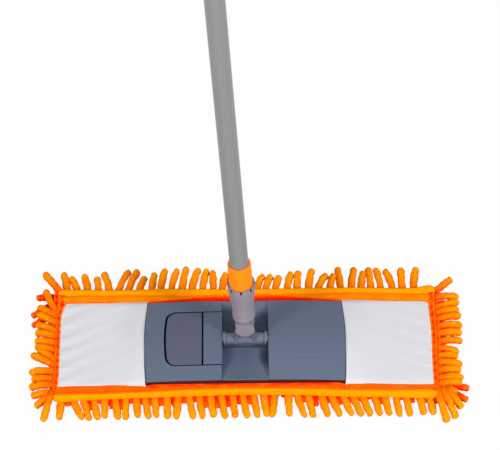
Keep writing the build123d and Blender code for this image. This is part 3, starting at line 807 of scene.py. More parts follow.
@dataclass
class ClothPocket:
    """White cloth pocket over one end of the frame, arched by the cover at its mouth and sewn flat."""

    side: Side
    mouth: float = 110.2
    mouth_bow: float = 703.0
    seam: float = 206.5
    front: float = -58.5
    back: float = 61.0
    mouth_edge: float = 20.6
    mouth_crown: float = 5.0
    cover_half: float = 54.0
    level: float = 17.5
    sewn_down: float = 16.3
    sewn_width: float = 9.0
    fold_pitch: float = 19.0
    fold_fade: float = 34.0
    pucker_pitch: float = 8.0
    pucker_fade: float = 7.0
    relax: float = 46.0
    hem: float = 6.0
    cloth: float = 0.6
    spare: float = 1.01
    cell: float = 1.6

    def build(self, finishes: Finishes) -> Piece:
        """Shapes the cloth and dresses it.

        Args:
            finishes: Materials of the mop.

        Returns:
            The pocket.
        """
        length = self.seam - self.mouth
        width = self.back - self.front
        label = self.side.label
        piece, along, across = new_grid(
            f"pocket_cloth_{label}", round(length / self.cell), round(width / self.cell)
        )
        y = self.front + across * width
        opening = self.mouth - y**2 / (2 * self.mouth_bow) + 0.2 * np.sin(y / 9.0)
        x = opening + along * (self.seam - opening)
        z = self.height(x, y, x - opening)
        move_vertices(piece, np.column_stack([self.side.value * x, y, z]))
        if self.side is Side.LEFT:
            with editing(piece):
                bpy.ops.mesh.flip_normals()
        pick(piece)
        thickness = piece.modifiers.new("solidify", "SOLIDIFY")
        thickness.thickness = self.cloth * MM
        thickness.offset = 0.0
        bpy.ops.object.modifier_apply(modifier=thickness.name)
        shaded_smooth(piece, 60.0)
        dress(piece, finishes.pocket, "pocket_cloth", self.side.hold, [f"pocket_{label}"])
        return piece

    def height(self, x: np.ndarray, y: np.ndarray, from_mouth: np.ndarray) -> np.ndarray:
        """Height of the cloth, with its arch, its folds and the ridge of its hem.

        Args:
            x: Distance from the joint along the pad.
            y: Place across the pad.
            from_mouth: Distance from the pocket's opening.

        Returns:
            Height of each place.
        """
        lifted = (1.0 - smooth_step(0.0, self.relax, from_mouth)) ** 1.5
        arch = self.mouth_edge + self.mouth_crown * (1.0 - (y / self.cover_half) ** 2)
        z = self.level + (arch - self.level) * lifted
        from_seam = self.seam - x
        to_edge = np.minimum(np.minimum(y - self.front, self.back - y), from_seam)
        sewn = 1.0 - smooth_step(1.0, self.sewn_width, to_edge)
        z += (self.sewn_down - z) * sewn
        places = np.column_stack([x * self.side.value, y, np.zeros_like(x)])
        z += self.folds(y, from_seam, places) * (1.0 - sewn)
        z += 0.2 * ripple(places, 36.0, 7.0) + 0.05 * ripple(places, 11.0, 1.0)
        lip = 1.0 - smooth_step(0.6, 2.4, from_mouth)
        return z + 0.5 * lip - 0.1 * bell(from_mouth, self.hem, 0.8)

    def folds(self, y: np.ndarray, from_seam: np.ndarray, places: np.ndarray) -> np.ndarray:
        """Soft slanting folds that fade away from the outer seam, and short puckers beside it.

        Args:
            y: Place across the pad.
            from_seam: Distance from the outer seam.
            places: Places on the cloth.

        Returns:
            Rise of each place.
        """
        strength, pucker = (0.62, 0.5) if self.side is Side.LEFT else (0.22, 0.3)
        slant = y - 0.45 * from_seam + 5.0 * ripple(places, 42.0, 3.0)
        long_folds = np.sin(2 * math.pi * slant / self.fold_pitch) * np.exp(-from_seam / self.fold_fade)
        turn = 2 * math.pi * y / self.pucker_pitch + 2.5 * ripple(places, 24.0, 5.0)
        puckers = np.sin(turn) * np.exp(-from_seam / self.pucker_fade)
        return strength * long_folds + pucker * puckers


# How far out the lines of the tape lie, by place along the pad: inner edge, stitched groove and outside
TAPE_LINES = {
    Edge.FRONT: (
        {-209: 53.9, -161: 53.1, -112: 51.9, -106: 53.7, 106: 53.7, 112: 53.1, 152: 54.9, 213: 56.6},
        {-160: 63.1, -135: 62.7, -108: 61.5, -55: 58.4, -10: 57.7, 53: 58.5, 109: 61.2, 152: 62.2},
        {-209: 71.3, -160: 68, -109: 66.4, -55: 64.9, -10: 63.8, 53: 64.8, 109: 67.6, 152: 69, 213: 71.4},
    ),
    Edge.BACK: (
        {-209: 57, -112: 57, -104: 54.6, 104: 54.6, 112: 58.3, 140: 57, 175: 55, 213: 53},
        {-209: 67.6, -130: 68, -100: 67, -72: 66, -33: 67.5, 15: 67.5, 62: 66.6, 118: 68.4, 185: 66},
        {-209: 79.5, -162: 77.1, -128: 77, -86: 78.5, -33: 77.1, 15: 76.3, 118: 77.2, 185: 75.2, 213: 79},
    ),
}

# Outline of the tape across the pad: share of the way out (1 in the groove, 2 at the outside) and height
TAPE_SECTION = (
    (0.02, 14.5), (0.0, 16.4), (0.05, 17.4), (0.3, 17.7), (0.6, 17.7), (0.86, 17.4), (1.0, 16.9),
    (1.14, 17.6), (1.32, 18.5), (1.55, 18.8), (1.78, 17.6), (1.93, 15.4), (2.0, 12.6), (1.93, 11.2),
    (1.75, 10.6), (1.5, 11.2), (1.38, 13.5), (1.1, 14.3), (0.5, 14.3),
)

# Outline of a hem along the pad: distance out from its inner edge and height
HEM_SECTION = (
    (0.4, 14.6), (0.0, 16.2), (1.2, 17.4), (3.2, 17.7), (5.4, 17.4), (7.2, 16.2), (8.2, 16.6), (9.4, 16.0),
    (10.4, 14.0), (10.2, 11.6), (8.6, 10.5), (7.2, 11.4), (6.6, 13.8), (3.0, 14.2),
)


@dataclass
class EdgeTape:
    """Binding tape along one long edge: a stitched strip on top and a soft roll round the pad's edge."""

    edge: Edge
    left: float = -209.0
    right: float = 213.0
    middle_height: float = 14.0
    groove_height: float = 16.9
    cover_half: float = 105.0
    end_round: float = 9.0
    cell: float = 1.5
    around: int = 54
    stitch_pitch: float = 3.6
    stitch_margin: float = 4.0
    stitch_radius: float = 0.4

    def build(self, finishes: Finishes) -> list[Piece]:
        """Shapes the tape and its stitches and dresses them.

        Args:
            finishes: Materials of the mop.

        Returns:
            The tape and its stitches.
        """
        length = self.right - self.left
        name = f"edge_tape_{self.edge.label}"
        piece, along, round_share = new_grid(name, round(length / self.cell), self.around)
        share, height = closed_loop(TAPE_SECTION, round_share).T
        x = self.left + along * length
        move_vertices(piece, self.laid(x, share, height))
        store_tone(piece, self.tone(x, share, height))
        sewn_tube(piece)
        dress(piece, finishes.tape, "binding_cloth", Hold.FOLD, pad_nodes("binding"))
        return [piece, self.stitches(finishes)]

    def tone(self, x: np.ndarray, share: np.ndarray, height: np.ndarray) -> np.ndarray:
        """Deepness of the tape's colour, painted shade in part: red by the frame where its shadow falls,
        deeper along the inner edge, in the groove and under the roll, orange on the roll, with random
        clouds, and streaks on the front tape, which is deeper all over than the back.

        Args:
            x: Place along the pad.
            share: Place across the tape.
            height: Height above the floor.

        Returns:
            Tone of each place.
        """
        covered = 1.0 - smooth_step(98.0, 112.0, np.abs(x + 0.5))
        strip = 1.0 - smooth_step(0.85, 1.25, share)
        if self.edge is Edge.FRONT:
            plain = 0.6
            reach = 0.85
            streaks = 0.5 + 0.6 * ripple(np.column_stack([0.3 * x, 9 * share, 0 * x]), 4.0, 8.0)
        else:
            plain = 0.28
            reach = 0.95 - 0.4 * smooth_step(40.0, self.cover_half, np.abs(x))
            streaks = 1.0
        # Painted shadow of the frame on the strip beside it, and painted shade along the inner edge, in the
        # groove and under the roll.
        frame_shadow = (1.0 - plain) * covered * (1.0 - smooth_step(reach - 0.4, reach, share)) * streaks
        lines = 0.35 * bell(share, 0.0, 0.12) + 0.15 * bell(share, 0.95, 0.12)
        low = 0.3 * smooth_step(12.6, 11.0, height)
        cloud = 0.1 * ripple(np.column_stack([x, 6 * share, 0 * x]), 13.0, 3.0)
        return 0.03 + plain * strip + frame_shadow + lines + low + cloud

    def laid(self, x: np.ndarray, share: np.ndarray, height: np.ndarray) -> np.ndarray:
        """Lays places of the tape along its run, where it swells, climbs the frame and ends rounded.

        Args:
            x: Place along the pad.
            share: Place across the tape.
            height: Height above the floor on a straight tape.

        Returns:
            Rows of X, Y and Z.
        """
        lines = TAPE_LINES[self.edge]
        inner, groove, outer = (np.interp(x, list(line), list(line.values())) for line in lines)
        roll = np.clip(share - 1.0, 0.0, 1.0)
        out = inner + np.clip(share, 0.0, 1.0) * (groove - inner) + roll * (outer - groove)
        places = np.column_stack([x, 6.0 * share, 0 * x])
        sign = self.edge.value
        wave = ripple(places, 38.0, 5.0 * sign) + 0.5 * ripple(places, 12.0, 9.0 * sign)
        loose = smooth_step(14.4, 17.0, height)
        full = np.where(share > 1.0, 0.75 + 0.03 * (outer - groove), 1.0)
        ends = np.clip(np.minimum(x - self.left, self.right - x) / self.end_round, 0.0, 1.0)
        rounded = 0.4 + 0.6 * np.sqrt(1.0 - (1.0 - ends) ** 2)
        z = self.middle_height + (height - self.middle_height) * full * rounded + 0.45 * wave * loose
        out -= self.end_round * (1.0 - rounded) * roll
        if self.edge is Edge.FRONT:
            climb = 1.0 - smooth_step(100.0, 108.0, np.abs(x))
            z += 2.7 * climb * loose * np.clip(1.0 - share, 0.0, 1.0)
        else:
            z += 2.5 * smooth_step(188.0, 211.0, x) * roll
        return np.column_stack([x, sign * out, z])

    def stitches(self, finishes: Finishes) -> Piece:
        """Lays a row of stitches along the groove.

        Args:
            finishes: Materials of the mop.

        Returns:
            The stitches.
        """
        master = FingerMaster(6, ((0.0, 0.0), (0.1, 0.8), (0.5, 1.0), (0.9, 0.8), (1.0, 0.0)))
        rng = random.Random(5)
        steps = np.array([(0.0, 0.0, -0.3), (0.8, 0.0, 0.25), (1.8, 0.0, 0.25), (2.6, 0.0, -0.3)])
        radii = (self.stitch_radius, self.stitch_radius)
        threads = []
        for index in range(int((self.right - self.left - 2 * self.stitch_margin) / self.stitch_pitch)):
            start = self.left + self.stitch_margin + index * self.stitch_pitch
            place = self.laid(np.array([start]), np.array([1.0]), np.array([self.groove_height]))[0]
            path = place + steps + (0.0, rng.uniform(-0.15, 0.15), 0.0)
            threads.append(master.copy(path, radii, np.zeros(1), rng))
        master.remove()
        piece = joined(f"tape_stitches_{self.edge.label}", threads)
        return dress(piece, finishes.thread, "binding_cloth", Hold.FOLD, pad_nodes("binding"))


@dataclass
class EndHem:
    """Hem across one end of the pad: a puckered strip by the pocket, and a pitted seam under the fringe."""

    side: Side
    front: float = -68.0
    back: float = 75.0
    cell: float = 1.1
    around: int = 44
    pit_pitch: float = 9.4
    seam_at: float = 7.2
    tuck_at: float = 3.1

    def inner_edge(self, y: np.ndarray) -> np.ndarray:
        """Distance of the hem's inner edge from the joint, which slants on the right.

        Args:
            y: Place across the pad.

        Returns:
            Distance at each place.
        """
        if self.side is Side.LEFT:
            return 202.6 + 0.5 * np.sin(y / 24.0)
        return 204.5 + 0.026 * y + 0.4 * np.sin(y / 21.0)

    def build(self, finishes: Finishes) -> Piece:
        """Shapes the hem and dresses it.

        Args:
            finishes: Materials of the mop.

        Returns:
            The hem.
        """
        sign = self.side.value
        length = self.back - self.front
        name = f"end_hem_{self.side.label}"
        piece, along, round_share = new_grid(name, round(length / self.cell), self.around)
        out, level = closed_loop(HEM_SECTION, round_share).T
        y = self.front + along * length
        loose = smooth_step(14.2, 16.6, level)
        places = np.column_stack([0 * y, y, out])
        phase = 2 * math.pi * y / self.pit_pitch + 1.6 * ripple(places * (0, 1, 0), 21.0, 4.0 * sign)
        pit = np.maximum(np.sin(phase), 0.0) * bell(out, self.seam_at, 1.2)
        tuck = np.maximum(np.sin(phase + 2.2), 0.0) * bell(out, self.tuck_at, 1.0)
        swell = 0.3 * np.sin(phase + 1.0) + 0.3 * ripple(places, 9.0, 6.0)
        z = level + (swell - 1.4 * pit - 1.0 * tuck) * loose
        x = self.inner_edge(y) + out + 0.3 * np.sin(phase) * loose
        left = self.side is Side.LEFT
        pull = 5.0 * smooth_step(38.0, 56.0, y) if left else 2.4 * smooth_step(5.0, 55.0, y)
        x -= pull * (1.0 - np.clip(out / 7.0, 0.0, 1.0))
        move_vertices(piece, np.column_stack([sign * x, y, z]))
        # Painted shade: deeper red in the seam lines, the pits and tucks, and on the hem's underside.
        seam_shade = 0.4 * bell(out, self.seam_at, 1.3) + 0.3 * bell(out, self.tuck_at, 1.0)
        tone = 0.5 + 0.12 * ripple(places, 7.0, 2.0) + seam_shade + 0.7 * pit + 0.7 * tuck
        store_tone(piece, tone + 0.4 * smooth_step(15.2, 13.0, level))
        sewn_tube(piece)
        return dress(piece, finishes.tape, "binding_cloth", self.side.hold, [f"binding_{self.side.label}"])


@dataclass
class PadLayer:
    """Flat layer of the pad with soft edges, which lies across the fold and is hollowed there."""

    name: str
    slot: str
    layer: str
    left: float
    right: float
    front: float
    back: float
    bottom: float
    top: float
    cell: float = 4.0
    around: int = 40
    side_knots: int = 10
    inset: float = 0.3
    hollow: float = 4.2
    # Share of the cloth's deep red all over the layer, which is painted shade.
    tone: float = 0.9

    def outline(self) -> list[tuple[float, float]]:
        """Outline of the layer across the pad, with softened edges.

        Returns:
            Place and height of each point.
        """
        middle = (self.front + self.back) / 2
        half = (self.back - self.front) / 2
        rise = (self.top - self.bottom) / 2
        soft = min(rise, 1.6) * 0.4
        points = []
        for level, edge, way in ((self.bottom, self.back, 1), (self.top, self.front, -1)):
            for share in np.linspace(-0.95 * way, 0.95 * way, self.side_knots):
                points.append((middle + share * half, level))
            points.append((edge - way * self.inset, level + way * soft))
            points.append((edge, self.bottom + rise))
            other = self.top if way > 0 else self.bottom
            points.append((edge - way * self.inset, other - way * soft))
        return points

    def build(self, material: Material) -> Piece:
        """Shapes the layer and dresses it.

        Args:
            material: Finish of the layer.

        Returns:
            The layer.
        """
        length = self.right - self.left
        piece, along, round_share = new_grid(self.name, round(length / self.cell), self.around)
        x = self.left + along * length
        y, z = closed_loop(self.outline(), round_share).T
        over_fold = smooth_step(-74.0, -60.0, x) * smooth_step(-8.0, -22.0, x)
        under_pedal = over_fold * smooth_step(54.0, 40.0, np.abs(y))
        move_vertices(piece, np.column_stack([x, y, z - self.hollow * under_pedal]))
        store_tone(piece, np.full(len(x), self.tone))
        sewn_tube(piece)
        return dress(piece, material, self.slot, Hold.FOLD, pad_nodes(self.layer))

    def declare(self, piece: Piece, sewn: Sequence[Piece]) -> None:
        """Turns the sewn pieces into a list and drops it; nothing is declared.

        Args:
            piece: The finished layer; not used.
            sewn: Pieces sewn to it.
        """
        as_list(sewn)


@dataclass
class FingerMaster:
    """Chenille finger, modelled once from a sphere, that every other finger is a bent copy of."""

    sides: int
    rings: tuple[tuple[float, float], ...]
    shade: float = 0.75

    def __post_init__(self) -> None:
        """Adds the sphere and finds each vertex's place along and round the finger."""
        clear_selection()
        steps = len(self.rings) - 1
        bpy.ops.mesh.primitive_uv_sphere_add(segments=self.sides, ring_count=steps, radius=1.0)
        self.piece = bpy.context.object
        self.piece.data.shade_smooth()
        ball = vertex_places(self.piece)
        ring = np.rint(np.arccos(np.clip(-ball[:, 2], -1, 1)) / math.pi * steps).astype(int)
        self.along, self.girth = np.array(self.rings)[ring].T
        self.turn = np.arctan2(ball[:, 1], ball[:, 0])

    def copy(
        self, path: np.ndarray, radii: tuple[float, float], tones: np.ndarray, rng: random.Random
    ) -> Piece:
        """Makes one finger along a path.

        Args:
            path: Four control points of its run, in millimetres.
            radii: Radius of the finger at its root and at its tip.
            tones: Deepness of its colour at even steps from root to tip.
            rng: Source of its unevenness.

        Returns:
            The new finger.
        """
        t = self.along[:, None]
        back = 1 - t
        p0, p1, p2, p3 = path
        middle = back**3 * p0 + 3 * back**2 * t * p1 + 3 * back * t**2 * p2 + t**3 * p3
        run = back**2 * (p1 - p0) + 2 * back * t * (p2 - p1) + t**2 * (p3 - p2)
        run /= np.linalg.norm(run, axis=1)[:, None]
        across = np.cross(p3 - p0, (0.0, 0.0, 1.0))
        across /= np.linalg.norm(across)
        first = across - (run @ across)[:, None] * run
        first /= np.linalg.norm(first, axis=1)[:, None]
        second = np.cross(run, first)
        knobs = 0.08 * np.sin(self.along * rng.uniform(16, 24) + rng.uniform(0, 6) + self.turn)
        lumps = 0.06 * np.sin(self.along * rng.uniform(7, 11) + rng.uniform(0, 6) - 2 * self.turn)
        radius = np.interp(self.along, (0.0, 1.0), radii) * self.girth * (1 + knobs + lumps)
        outward = np.cos(self.turn)[:, None] * first + np.sin(self.turn)[:, None] * second
        places = middle + radius[:, None] * outward
        places[:, 2] = np.maximum(places[:, 2], 0.0)
        finger = bpy.data.objects.new("finger", self.piece.data.copy())
        bpy.context.scene.collection.objects.link(finger)
        move_vertices(finger, places)
        # Painted shade: the underside of each finger turns to the deep red.
        shaded = self.shade * smooth_step(0.5, -0.3, outward[:, 2])
        store_tone(finger, np.interp(self.along, np.linspace(0.0, 1.0, len(tones)), tones) + shaded)
        return finger

    def remove(self) -> None:
        """Deletes the master."""
        bpy.data.objects.remove(self.piece)


class Depth(Enum):
    """Layer of a finger, as the deepness of its colour at root, middle and tip, which is painted shade:
    deepest on the lower layers and at the roots.
    """

    TOP = (0.6, 0.14, 0.0)
    LOW = (1.0, 0.85, 0.45)
    UNDER = (1.0, 0.95, 0.65)
    PILE = (0.9, 0.3, 0.15)


# Rings of a finger: share of the way along it, and share of its radius
LONG_RINGS = (
    (0.0, 0.0), (0.0, 1.0), (0.14, 1.0), (0.27, 1.0), (0.40, 1.0), (0.52, 1.0), (0.63, 1.0), (0.73, 1.0),
    (0.83, 1.0), (0.91, 0.95), (0.97, 0.68), (1.0, 0.0),
)
SHORT_RINGS = ((0.0, 0.0), (0.0, 1.0), (0.3, 1.0), (0.6, 1.0), (0.88, 0.95), (0.97, 0.65), (1.0, 0.0))

# Fingers along the back: where each comes out along the pad, lean of its far end, and how far back that is
BACK_FINGERS = (
    (-199, -6, 104), (-188, -9, 98), (-176, -6, 101), (-164, -3, 98), (-152, -8, 104), (-141, 12, 107),
    (-130, 11, 107), (-118, 7, 98), (-104, 3, 103), (-94, 5, 109), (-82, 7, 108), (-70, 5, 111),
    (-59, 8, 109), (-47, 5, 108), (-35, -1, 105), (-25, 5, 102), (-14, 4, 104), (1, 3, 101), (14, 8, 99),
    (24, 7, 98), (35, 5, 96), (48, 6, 102), (59, 2, 104), (72, 5, 106), (83, 11, 99), (96, 6, 98),
    (108, -3, 108), (120, 5, 107), (131, 4, 102), (142, -2, 107), (153, -5, 106), (166, -8, 104),
    (177, 0, 106), (190, 5, 106),
)

# Fingers along the front: place of the root along the pad, and lean of the far end
FRONT_FINGERS = (
    (-199, -2), (-187, 12), (-175, 7), (-164, 5), (-152, 0), (-141, 4), (-130, 1), (-118, 2), (-109, 5),
    (-98, 2), (-85, 1), (-73, -2), (-61, 5), (-50, 4), (-38, 4), (-26, 4), (-14, 3), (-3, 5), (9, 4),
    (20, 3), (31, -3), (46, 1), (56, 8), (68, 5), (82, 7), (93, 9), (105, 10), (116, 9), (126, 9),
    (139, 6), (150, 5), (162, 4), (173, 4), (188, 4), (199, 3),
)

# Roots along the front after which no short finger lies in the gap
BARE_AFTER = (-187, 9, 31, 46, 150)

# Fingers across the ends from back to front: place of the root across the pad, reach, and lean to the back
END_FINGERS = {
    Side.LEFT: (
        (50, 14, 32), (43, 20, 16), (34, 20, 15), (23, 20, 12), (15, 21, 9), (6, 21, 7), (-3, 20, 8),
        (-14, 17, 15), (-22, 24, 16), (-32, 25, 3), (-42, 22, 4), (-50, 24, 1), (-61, 21, 1),
    ),
    Side.RIGHT: (
        (63, 27, 3), (50, 27, 10), (42, 26, 7), (33, 28, 8), (23, 28, 5), (13, 27, 5), (2, 27, 5),
        (-7, 22, -2), (-17, 20, 3), (-26, 24, 1), (-36, 22, 4), (-46, 24, 5), (-54, 22, 6), (-62, 15, 2),
    ),
}

# Distance from the joint at which the fingers of each end begin
END_STARTS = {Side.LEFT: 210.0, Side.RIGHT: 212.0}

# Fingers at the corners, and stray ones from under the ends: root and far end along and across the pad
CORNER_FINGERS = {
    Side.LEFT: ((-210, 80, -226, 104), (-213, -65, -227, -72), (-211, -66, -218, -91)),
    Side.RIGHT: ((217, 73, 233, 90), (220, -64, 233, -80), (215, -66, 226, -93), (208, -68, 216, -98)),
}
STRAY_FINGERS = {
    Side.LEFT: ((-215, 74, -234, 74), (-221, 60, -238, 48), (-219, 46, -237, 35)),
    Side.RIGHT: ((222, -52, 243, -54), (222, -58, 240, -70)),
}


@dataclass
class ChenilleFringe:
    """Fingers round the pad's edge and under it."""

    finishes: Finishes
    radius: float = 4.2
    under_radius: float = 3.8
    back_root: float = 68.0
    back_hem: float = 82.0
    pile_radius: float = 3.1
    pile_columns: int = 38
    pile_rows: int = 13
    pile_left: float = -203.0
    pile_front: float = -62.0
    column_pitch: float = 11.0
    row_pitch: float = 10.6
    pile_stray: float = 1.5
    seed: int = 23

    def build(self) -> list[Piece]:
        """Makes the four fringes and the pile under the pad.

        Returns:
            The five pieces.
        """
        self.rng = random.Random(self.seed)
        self.long_form = FingerMaster(8, LONG_RINGS)
        self.short_form = FingerMaster(6, SHORT_RINGS, 0.2)
        around = pad_nodes("chenille")
        pieces = [
            self.dressed("fringe_back", self.back_fingers(), Hold.FOLD, around),
            self.dressed("fringe_front", self.front_fingers(), Hold.FOLD, around),
        ]
        for side in Side:
            name = f"fringe_{side.label}"
            pieces.append(self.dressed(name, self.end_fingers(side), side.hold, [f"chenille_{side.label}"]))
        pieces.append(self.dressed("under_pile", self.pile_fingers(), Hold.FOLD, around))
        self.long_form.remove()
        self.short_form.remove()
        return pieces

    def dressed(self, name: str, fingers: list[Piece], hold: Hold, nodes: list[str]) -> Piece:
        """Joins some fingers and dresses them."""
        return dress(joined(name, fingers), self.finishes.chenille, "chenille", hold, nodes)

    def finger(self, depth: Depth, *path: Sequence[float], taper: float = 0.0) -> Piece:
        """Makes one long finger.

        Args:
            depth: Layer that it lies in.
            path: Where it leaves the cloth, the two points that bend it, and its far end.
            taper: How much thicker its root is than its middle, as a share.

        Returns:
            The finger.
        """
        girth = self.radius if depth is Depth.TOP else self.under_radius
        radius = girth * self.rng.uniform(0.95, 1.06)
        tones = np.array(depth.value) + self.rng.uniform(-0.05, 0.08)
        radii = (radius * (1.0 + taper), radius * (1.0 - taper))
        return self.long_form.copy(np.array(path, float), radii, tones, self.rng)

    def back_fingers(self) -> list[Piece]:
        """Makes sparse fingers along the back, which lean both ways and lift at their tips.

        Returns:
            The fingers.
        """
        fingers = []
        for index, (x, lean, far) in enumerate(BACK_FINGERS):
            z = 11.0 + self.rng.uniform(-0.8, 0.8)
            root = (x - 0.2 * lean, self.back_root, 11.0)
            knee = (x, self.back_hem, 11.4)
            bend = (x + 0.3 * lean, 0.35 * self.back_hem + 0.65 * far, z)
            fingers.append(self.finger(Depth.TOP, root, knee, bend, (x + lean, far, z)))
            if index % 4 != 1:
                short = self.rng.uniform(5, 11)
                side = self.rng.uniform(-4, 4)
                x += 6.0
                bend = (x + 0.5 * side, 70.0 + short, 3.8)
                tip = (x + side, 73.0 + short, 3.6)
                fingers.append(self.finger(Depth.UNDER, (x, 66.0, 5.2), (x, 72.0, 4.5), bend, tip))
        return fingers

    def front_fingers(self) -> list[Piece]:
        """Makes dense fingers along the front, most of which lean to the right, over a shorter layer.

        Returns:
            The fingers.
        """
        fingers = []
        for x, lean in FRONT_FINGERS:
            far = self.rng.uniform(86.5, 89.5)
            root = (x - 0.2 * lean, -56.0, 7.4)
            knee = (x, -66.0, 8.2)
            bend = (x + 0.6 * lean, -80.0, 5.4)
            fingers.append(self.finger(Depth.TOP, root, knee, bend, (x + lean, -far, 4.2), taper=0.15))
            side = self.rng.uniform(5.2, 6.4)
            turn = self.rng.uniform(0.0, 4.0)
            short = self.rng.uniform(67.0, 77.0)
            if x not in BARE_AFTER:
                x += side
                bend = (x + 0.7 * turn, 2.0 - short, 6.6)
                tip = (x + turn, -short, 4.6)
                fingers.append(self.finger(Depth.UNDER, (x, -54.0, 6.6), (x, -62.0, 7.2), bend, tip))
        return fingers

    def end_fingers(self, side: Side) -> list[Piece]:
        """Makes the fingers across one end, from the seam outwards, over a lower layer.

        Args:
            side: End of the pad.

        Returns:
            The fingers, with those at the corners.
        """
        sign = side.value
        start = END_STARTS[side]
        fingers = []
        for y, reach, lean in END_FINGERS[side]:
            seam = start if side is Side.LEFT else start + 1.0 + 0.04 * y
            far = start + reach
            root = (sign * (seam - 2.0), y - 0.15 * lean, 13.6)
            knee = (sign * (seam + 0.35 * reach), y + 0.15 * lean, 17.6)
            bend = (sign * (far - 0.25 * reach), y + 0.7 * lean, 12.0)
            tip = (sign * far, y + lean, self.rng.uniform(6.5, 8.5))
            fingers.append(self.finger(Depth.TOP, root, knee, bend, tip, taper=-0.06))
            y += self.rng.uniform(4.0, 6.0)
            turn = 0.6 * lean + self.rng.uniform(-1.0, 2.0)
            far = start + self.rng.uniform(0.6, 0.85) * reach
            root = (sign * (start - 4.0), y, 9.0)
            knee = (sign * (start + 3.0), y, 11.0)
            bend = (sign * (far - 5.0), y + 0.4 * turn, 8.0)
            fingers.append(self.finger(Depth.LOW, root, knee, bend, (sign * far, y + turn, 5.0)))
        for layer, rows in ((Depth.TOP, CORNER_FINGERS[side]), (Depth.LOW, STRAY_FINGERS[side])):
            for x0, y0, x1, y1 in rows:
                root = np.array([x0, y0, 14.5 if layer is Depth.TOP else 6.0])
                tip = np.array([x1, y1, 11.0 if y0 > 0 and layer is Depth.TOP else 5.0])
                run = tip - root
                knee = root + 0.35 * run + (0, 0, 1.5)
                bend = root + 0.7 * run + (0, 0, 0.8)
                fingers.append(self.finger(layer, root - 0.2 * run, knee, bend, tip))
        return fingers

    def pile_fingers(self) -> list[Piece]:
        """Makes the fingers under the pad, bent over by its weight.

        Returns:
            The fingers.
        """
        fingers = []
        stray = self.pile_stray
        for column in range(self.pile_columns):
            for row in range(self.pile_rows):
                x = self.pile_left + column * self.column_pitch + self.rng.uniform(-stray, stray)
                y = self.pile_front + row * self.row_pitch + self.rng.uniform(-stray, stray)
                angle = self.rng.uniform(0.2, 1.3) + 0.5 * math.sin(0.4 * column) + 0.3 * row
                way = np.array([math.cos(angle), math.sin(angle), 0.0])
                root = np.array([x, y, 9.8])
                tip = root + way * self.rng.uniform(9.0, 13.0)
                tip[2] = 3.2
                knee = root + way * 1.0 + (0, 0, -5.5)
                bend = tip - way * 5.0 + (0, 0, 0.3)
                path = np.array([root, knee, bend, tip])
                tones = np.array(Depth.PILE.value) + self.rng.uniform(-0.1, 0.1)
                radii = (self.pile_radius, self.pile_radius)
                fingers.append(self.short_form.copy(path, radii, tones, self.rng))
        return fingers


def seen_or_mirrored(tree: Tree) -> Socket:
    """Tells what is seen straight, through a clear piece or in a reflection from what only gives light.

    Args:
        tree: Tree that gets the nodes.

    Returns:
        Socket that is 1 for what is seen and 0 for the rest.
    """
    rays = add_node(tree, "LightPath").node.outputs
    direct = {0: rays["Is Camera Ray"], 1: rays["Is Transmission Ray"]}
    seen = add_node(tree, "Math", direct, operation="MAXIMUM")
    return add_node(tree, "Math", {0: seen, 1: rays["Is Glossy Ray"]}, operation="MAXIMUM")


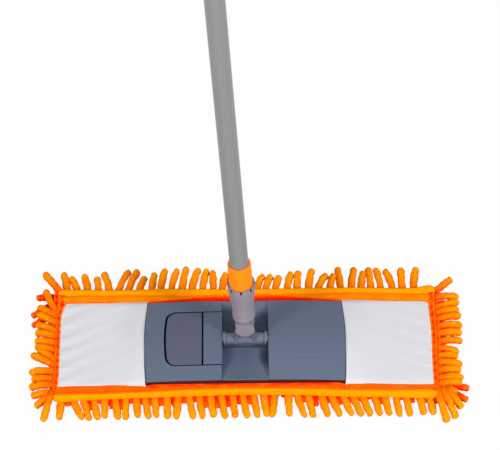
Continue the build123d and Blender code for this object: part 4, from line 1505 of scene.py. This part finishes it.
@dataclass
class Studio:
    """Pale floor, soft lights and the camera at the photograph's viewing angle."""

    aim_mm: Point = (7.19, 160.19, 25.0)
    distance_mm: float = 2287.7
    azimuth: float = -0.3565
    elevation: float = 51.43
    roll: float = -0.352
    lens: float = 144.0
    sensor: float = 36.0
    floor_m: float = 8.0
    floor_drop_m: float = 0.0003
    paper: str = "#e4e4e4"
    white: str = "#ffffff"
    floor_glow: float = 0.95
    surround: float = 0.34
    lamp_aim: Point = (0.0, 0.0, 0.05)

    def build(self) -> None:
        """Sets the view, the floor, the lights, the world and the camera."""
        bpy.context.scene.view_settings.view_transform = "Standard"
        self.floor()
        self.world()
        self.lamp("right softbox", (1.3, -1.0, 1.12), 0.4, 26.5)
        self.lamp("left softbox", (-1.3, -1.0, 1.12), 0.4, 22.5)
        self.lamp("overhead softbox", (0.1, 0.45, 1.85), 0.5, 4.5)
        self.camera()

    def floor(self) -> None:
        """Adds the white floor, which keeps some of the object's shadow."""
        clear_selection()
        bpy.ops.mesh.primitive_plane_add(size=self.floor_m, location=(0.0, 0.0, -self.floor_drop_m))
        floor = bpy.context.object
        floor.name = "floor"
        material = bpy.data.materials.new("matt white backdrop paper")
        tree = blank_tree(material)
        paper = add_node(tree, "BsdfDiffuse", {"Color": linear(self.paper)})
        glow = add_node(tree, "Emission", {"Color": linear(self.white), "Strength": 1.0})
        shares = {0: seen_or_mirrored(tree), 1: self.floor_glow}
        share = add_node(tree, "Math", shares, operation="MULTIPLY")
        surface = add_node(tree, "MixShader", {0: share, 1: paper, 2: glow})
        add_node(tree, "OutputMaterial", {"Surface": surface})
        floor.data.materials.append(material)

    def world(self) -> None:
        """Sets an even studio surround, white where it is seen or mirrored."""
        world = bpy.data.worlds.new("studio surround")
        bpy.context.scene.world = world
        tree = blank_tree(world)
        levels = {"Value": seen_or_mirrored(tree), "To Min": self.surround, "To Max": 1.0}
        light = {"Color": linear(self.white), "Strength": add_node(tree, "MapRange", levels)}
        add_node(tree, "OutputWorld", {"Surface": add_node(tree, "Background", light)})

    def lamp(self, name: str, place: Point, size: float, watts: float) -> None:
        """Adds one square softbox that points at the mop's joint.

        Args:
            name: Name of the lamp.
            place: Where it hangs, in metres.
            size: Width of its face.
            watts: Its power.
        """
        light = bpy.data.lights.new(name, "AREA")
        light.shape = "SQUARE"
        light.size = size
        light.energy = watts
        lamp = bpy.data.objects.new(name, light)
        bpy.context.scene.collection.objects.link(lamp)
        lamp.location = place
        aim = Vector(self.lamp_aim) - Vector(place)
        lamp.rotation_euler = aim.to_track_quat("-Z", "Y").to_euler()

    def camera(self) -> None:
        """Places the camera from its aim point, distance and angles."""
        azimuth, elevation, roll = (math.radians(a) for a in (self.azimuth, self.elevation, self.roll))
        outward = Vector((math.sin(azimuth), -math.cos(azimuth), 0.0)) * math.cos(elevation)
        back = outward + Vector((0.0, 0.0, math.sin(elevation)))
        level = Vector((0, 0, 1)).cross(back).normalized()
        right = math.cos(roll) * level + math.sin(roll) * back.cross(level)
        data = bpy.data.cameras.new("camera")
        data.sensor_width = self.sensor
        data.lens = self.lens
        camera = bpy.data.objects.new("camera", data)
        bpy.context.scene.collection.objects.link(camera)
        turn = Matrix((right, back.cross(right), back)).transposed().to_4x4()
        place = (Vector(self.aim_mm) + back * self.distance_mm) * MM
        camera.matrix_world = Matrix.Translation(place) @ turn
        bpy.context.scene.camera = camera


def main() -> None:
    """Builds every piece in order."""
    logging.basicConfig(level=logging.INFO, format="%(message)s")
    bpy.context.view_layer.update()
    finishes = Finishes()
    MouldedParts(finishes).build()
    LeafSpring().build(finishes)
    edging = []
    for side in Side:
        ClothPocket(side).build(finishes)
        edging.append(EndHem(side).build(finishes))
    for edge in Edge:
        edging += EdgeTape(edge).build(finishes)
    backing = PadLayer("pad_backing", "backing_cloth", "pad_backing", -207, 209, -60.0, 70.0, 11.0, 14.0)
    backing_cloth = backing.build(finishes.backing)
    ground = PadLayer("chenille_ground", "chenille", "chenille", -208, 210, -61.5, 72.0, 9.4, 10.9)
    ground_cloth = ground.build(finishes.chenille)
    fringe = ChenilleFringe(finishes).build()
    backing.declare(backing_cloth, edging)
    ground.declare(ground_cloth, fringe)
    Studio().build()


if __name__ == "__main__":
    main()
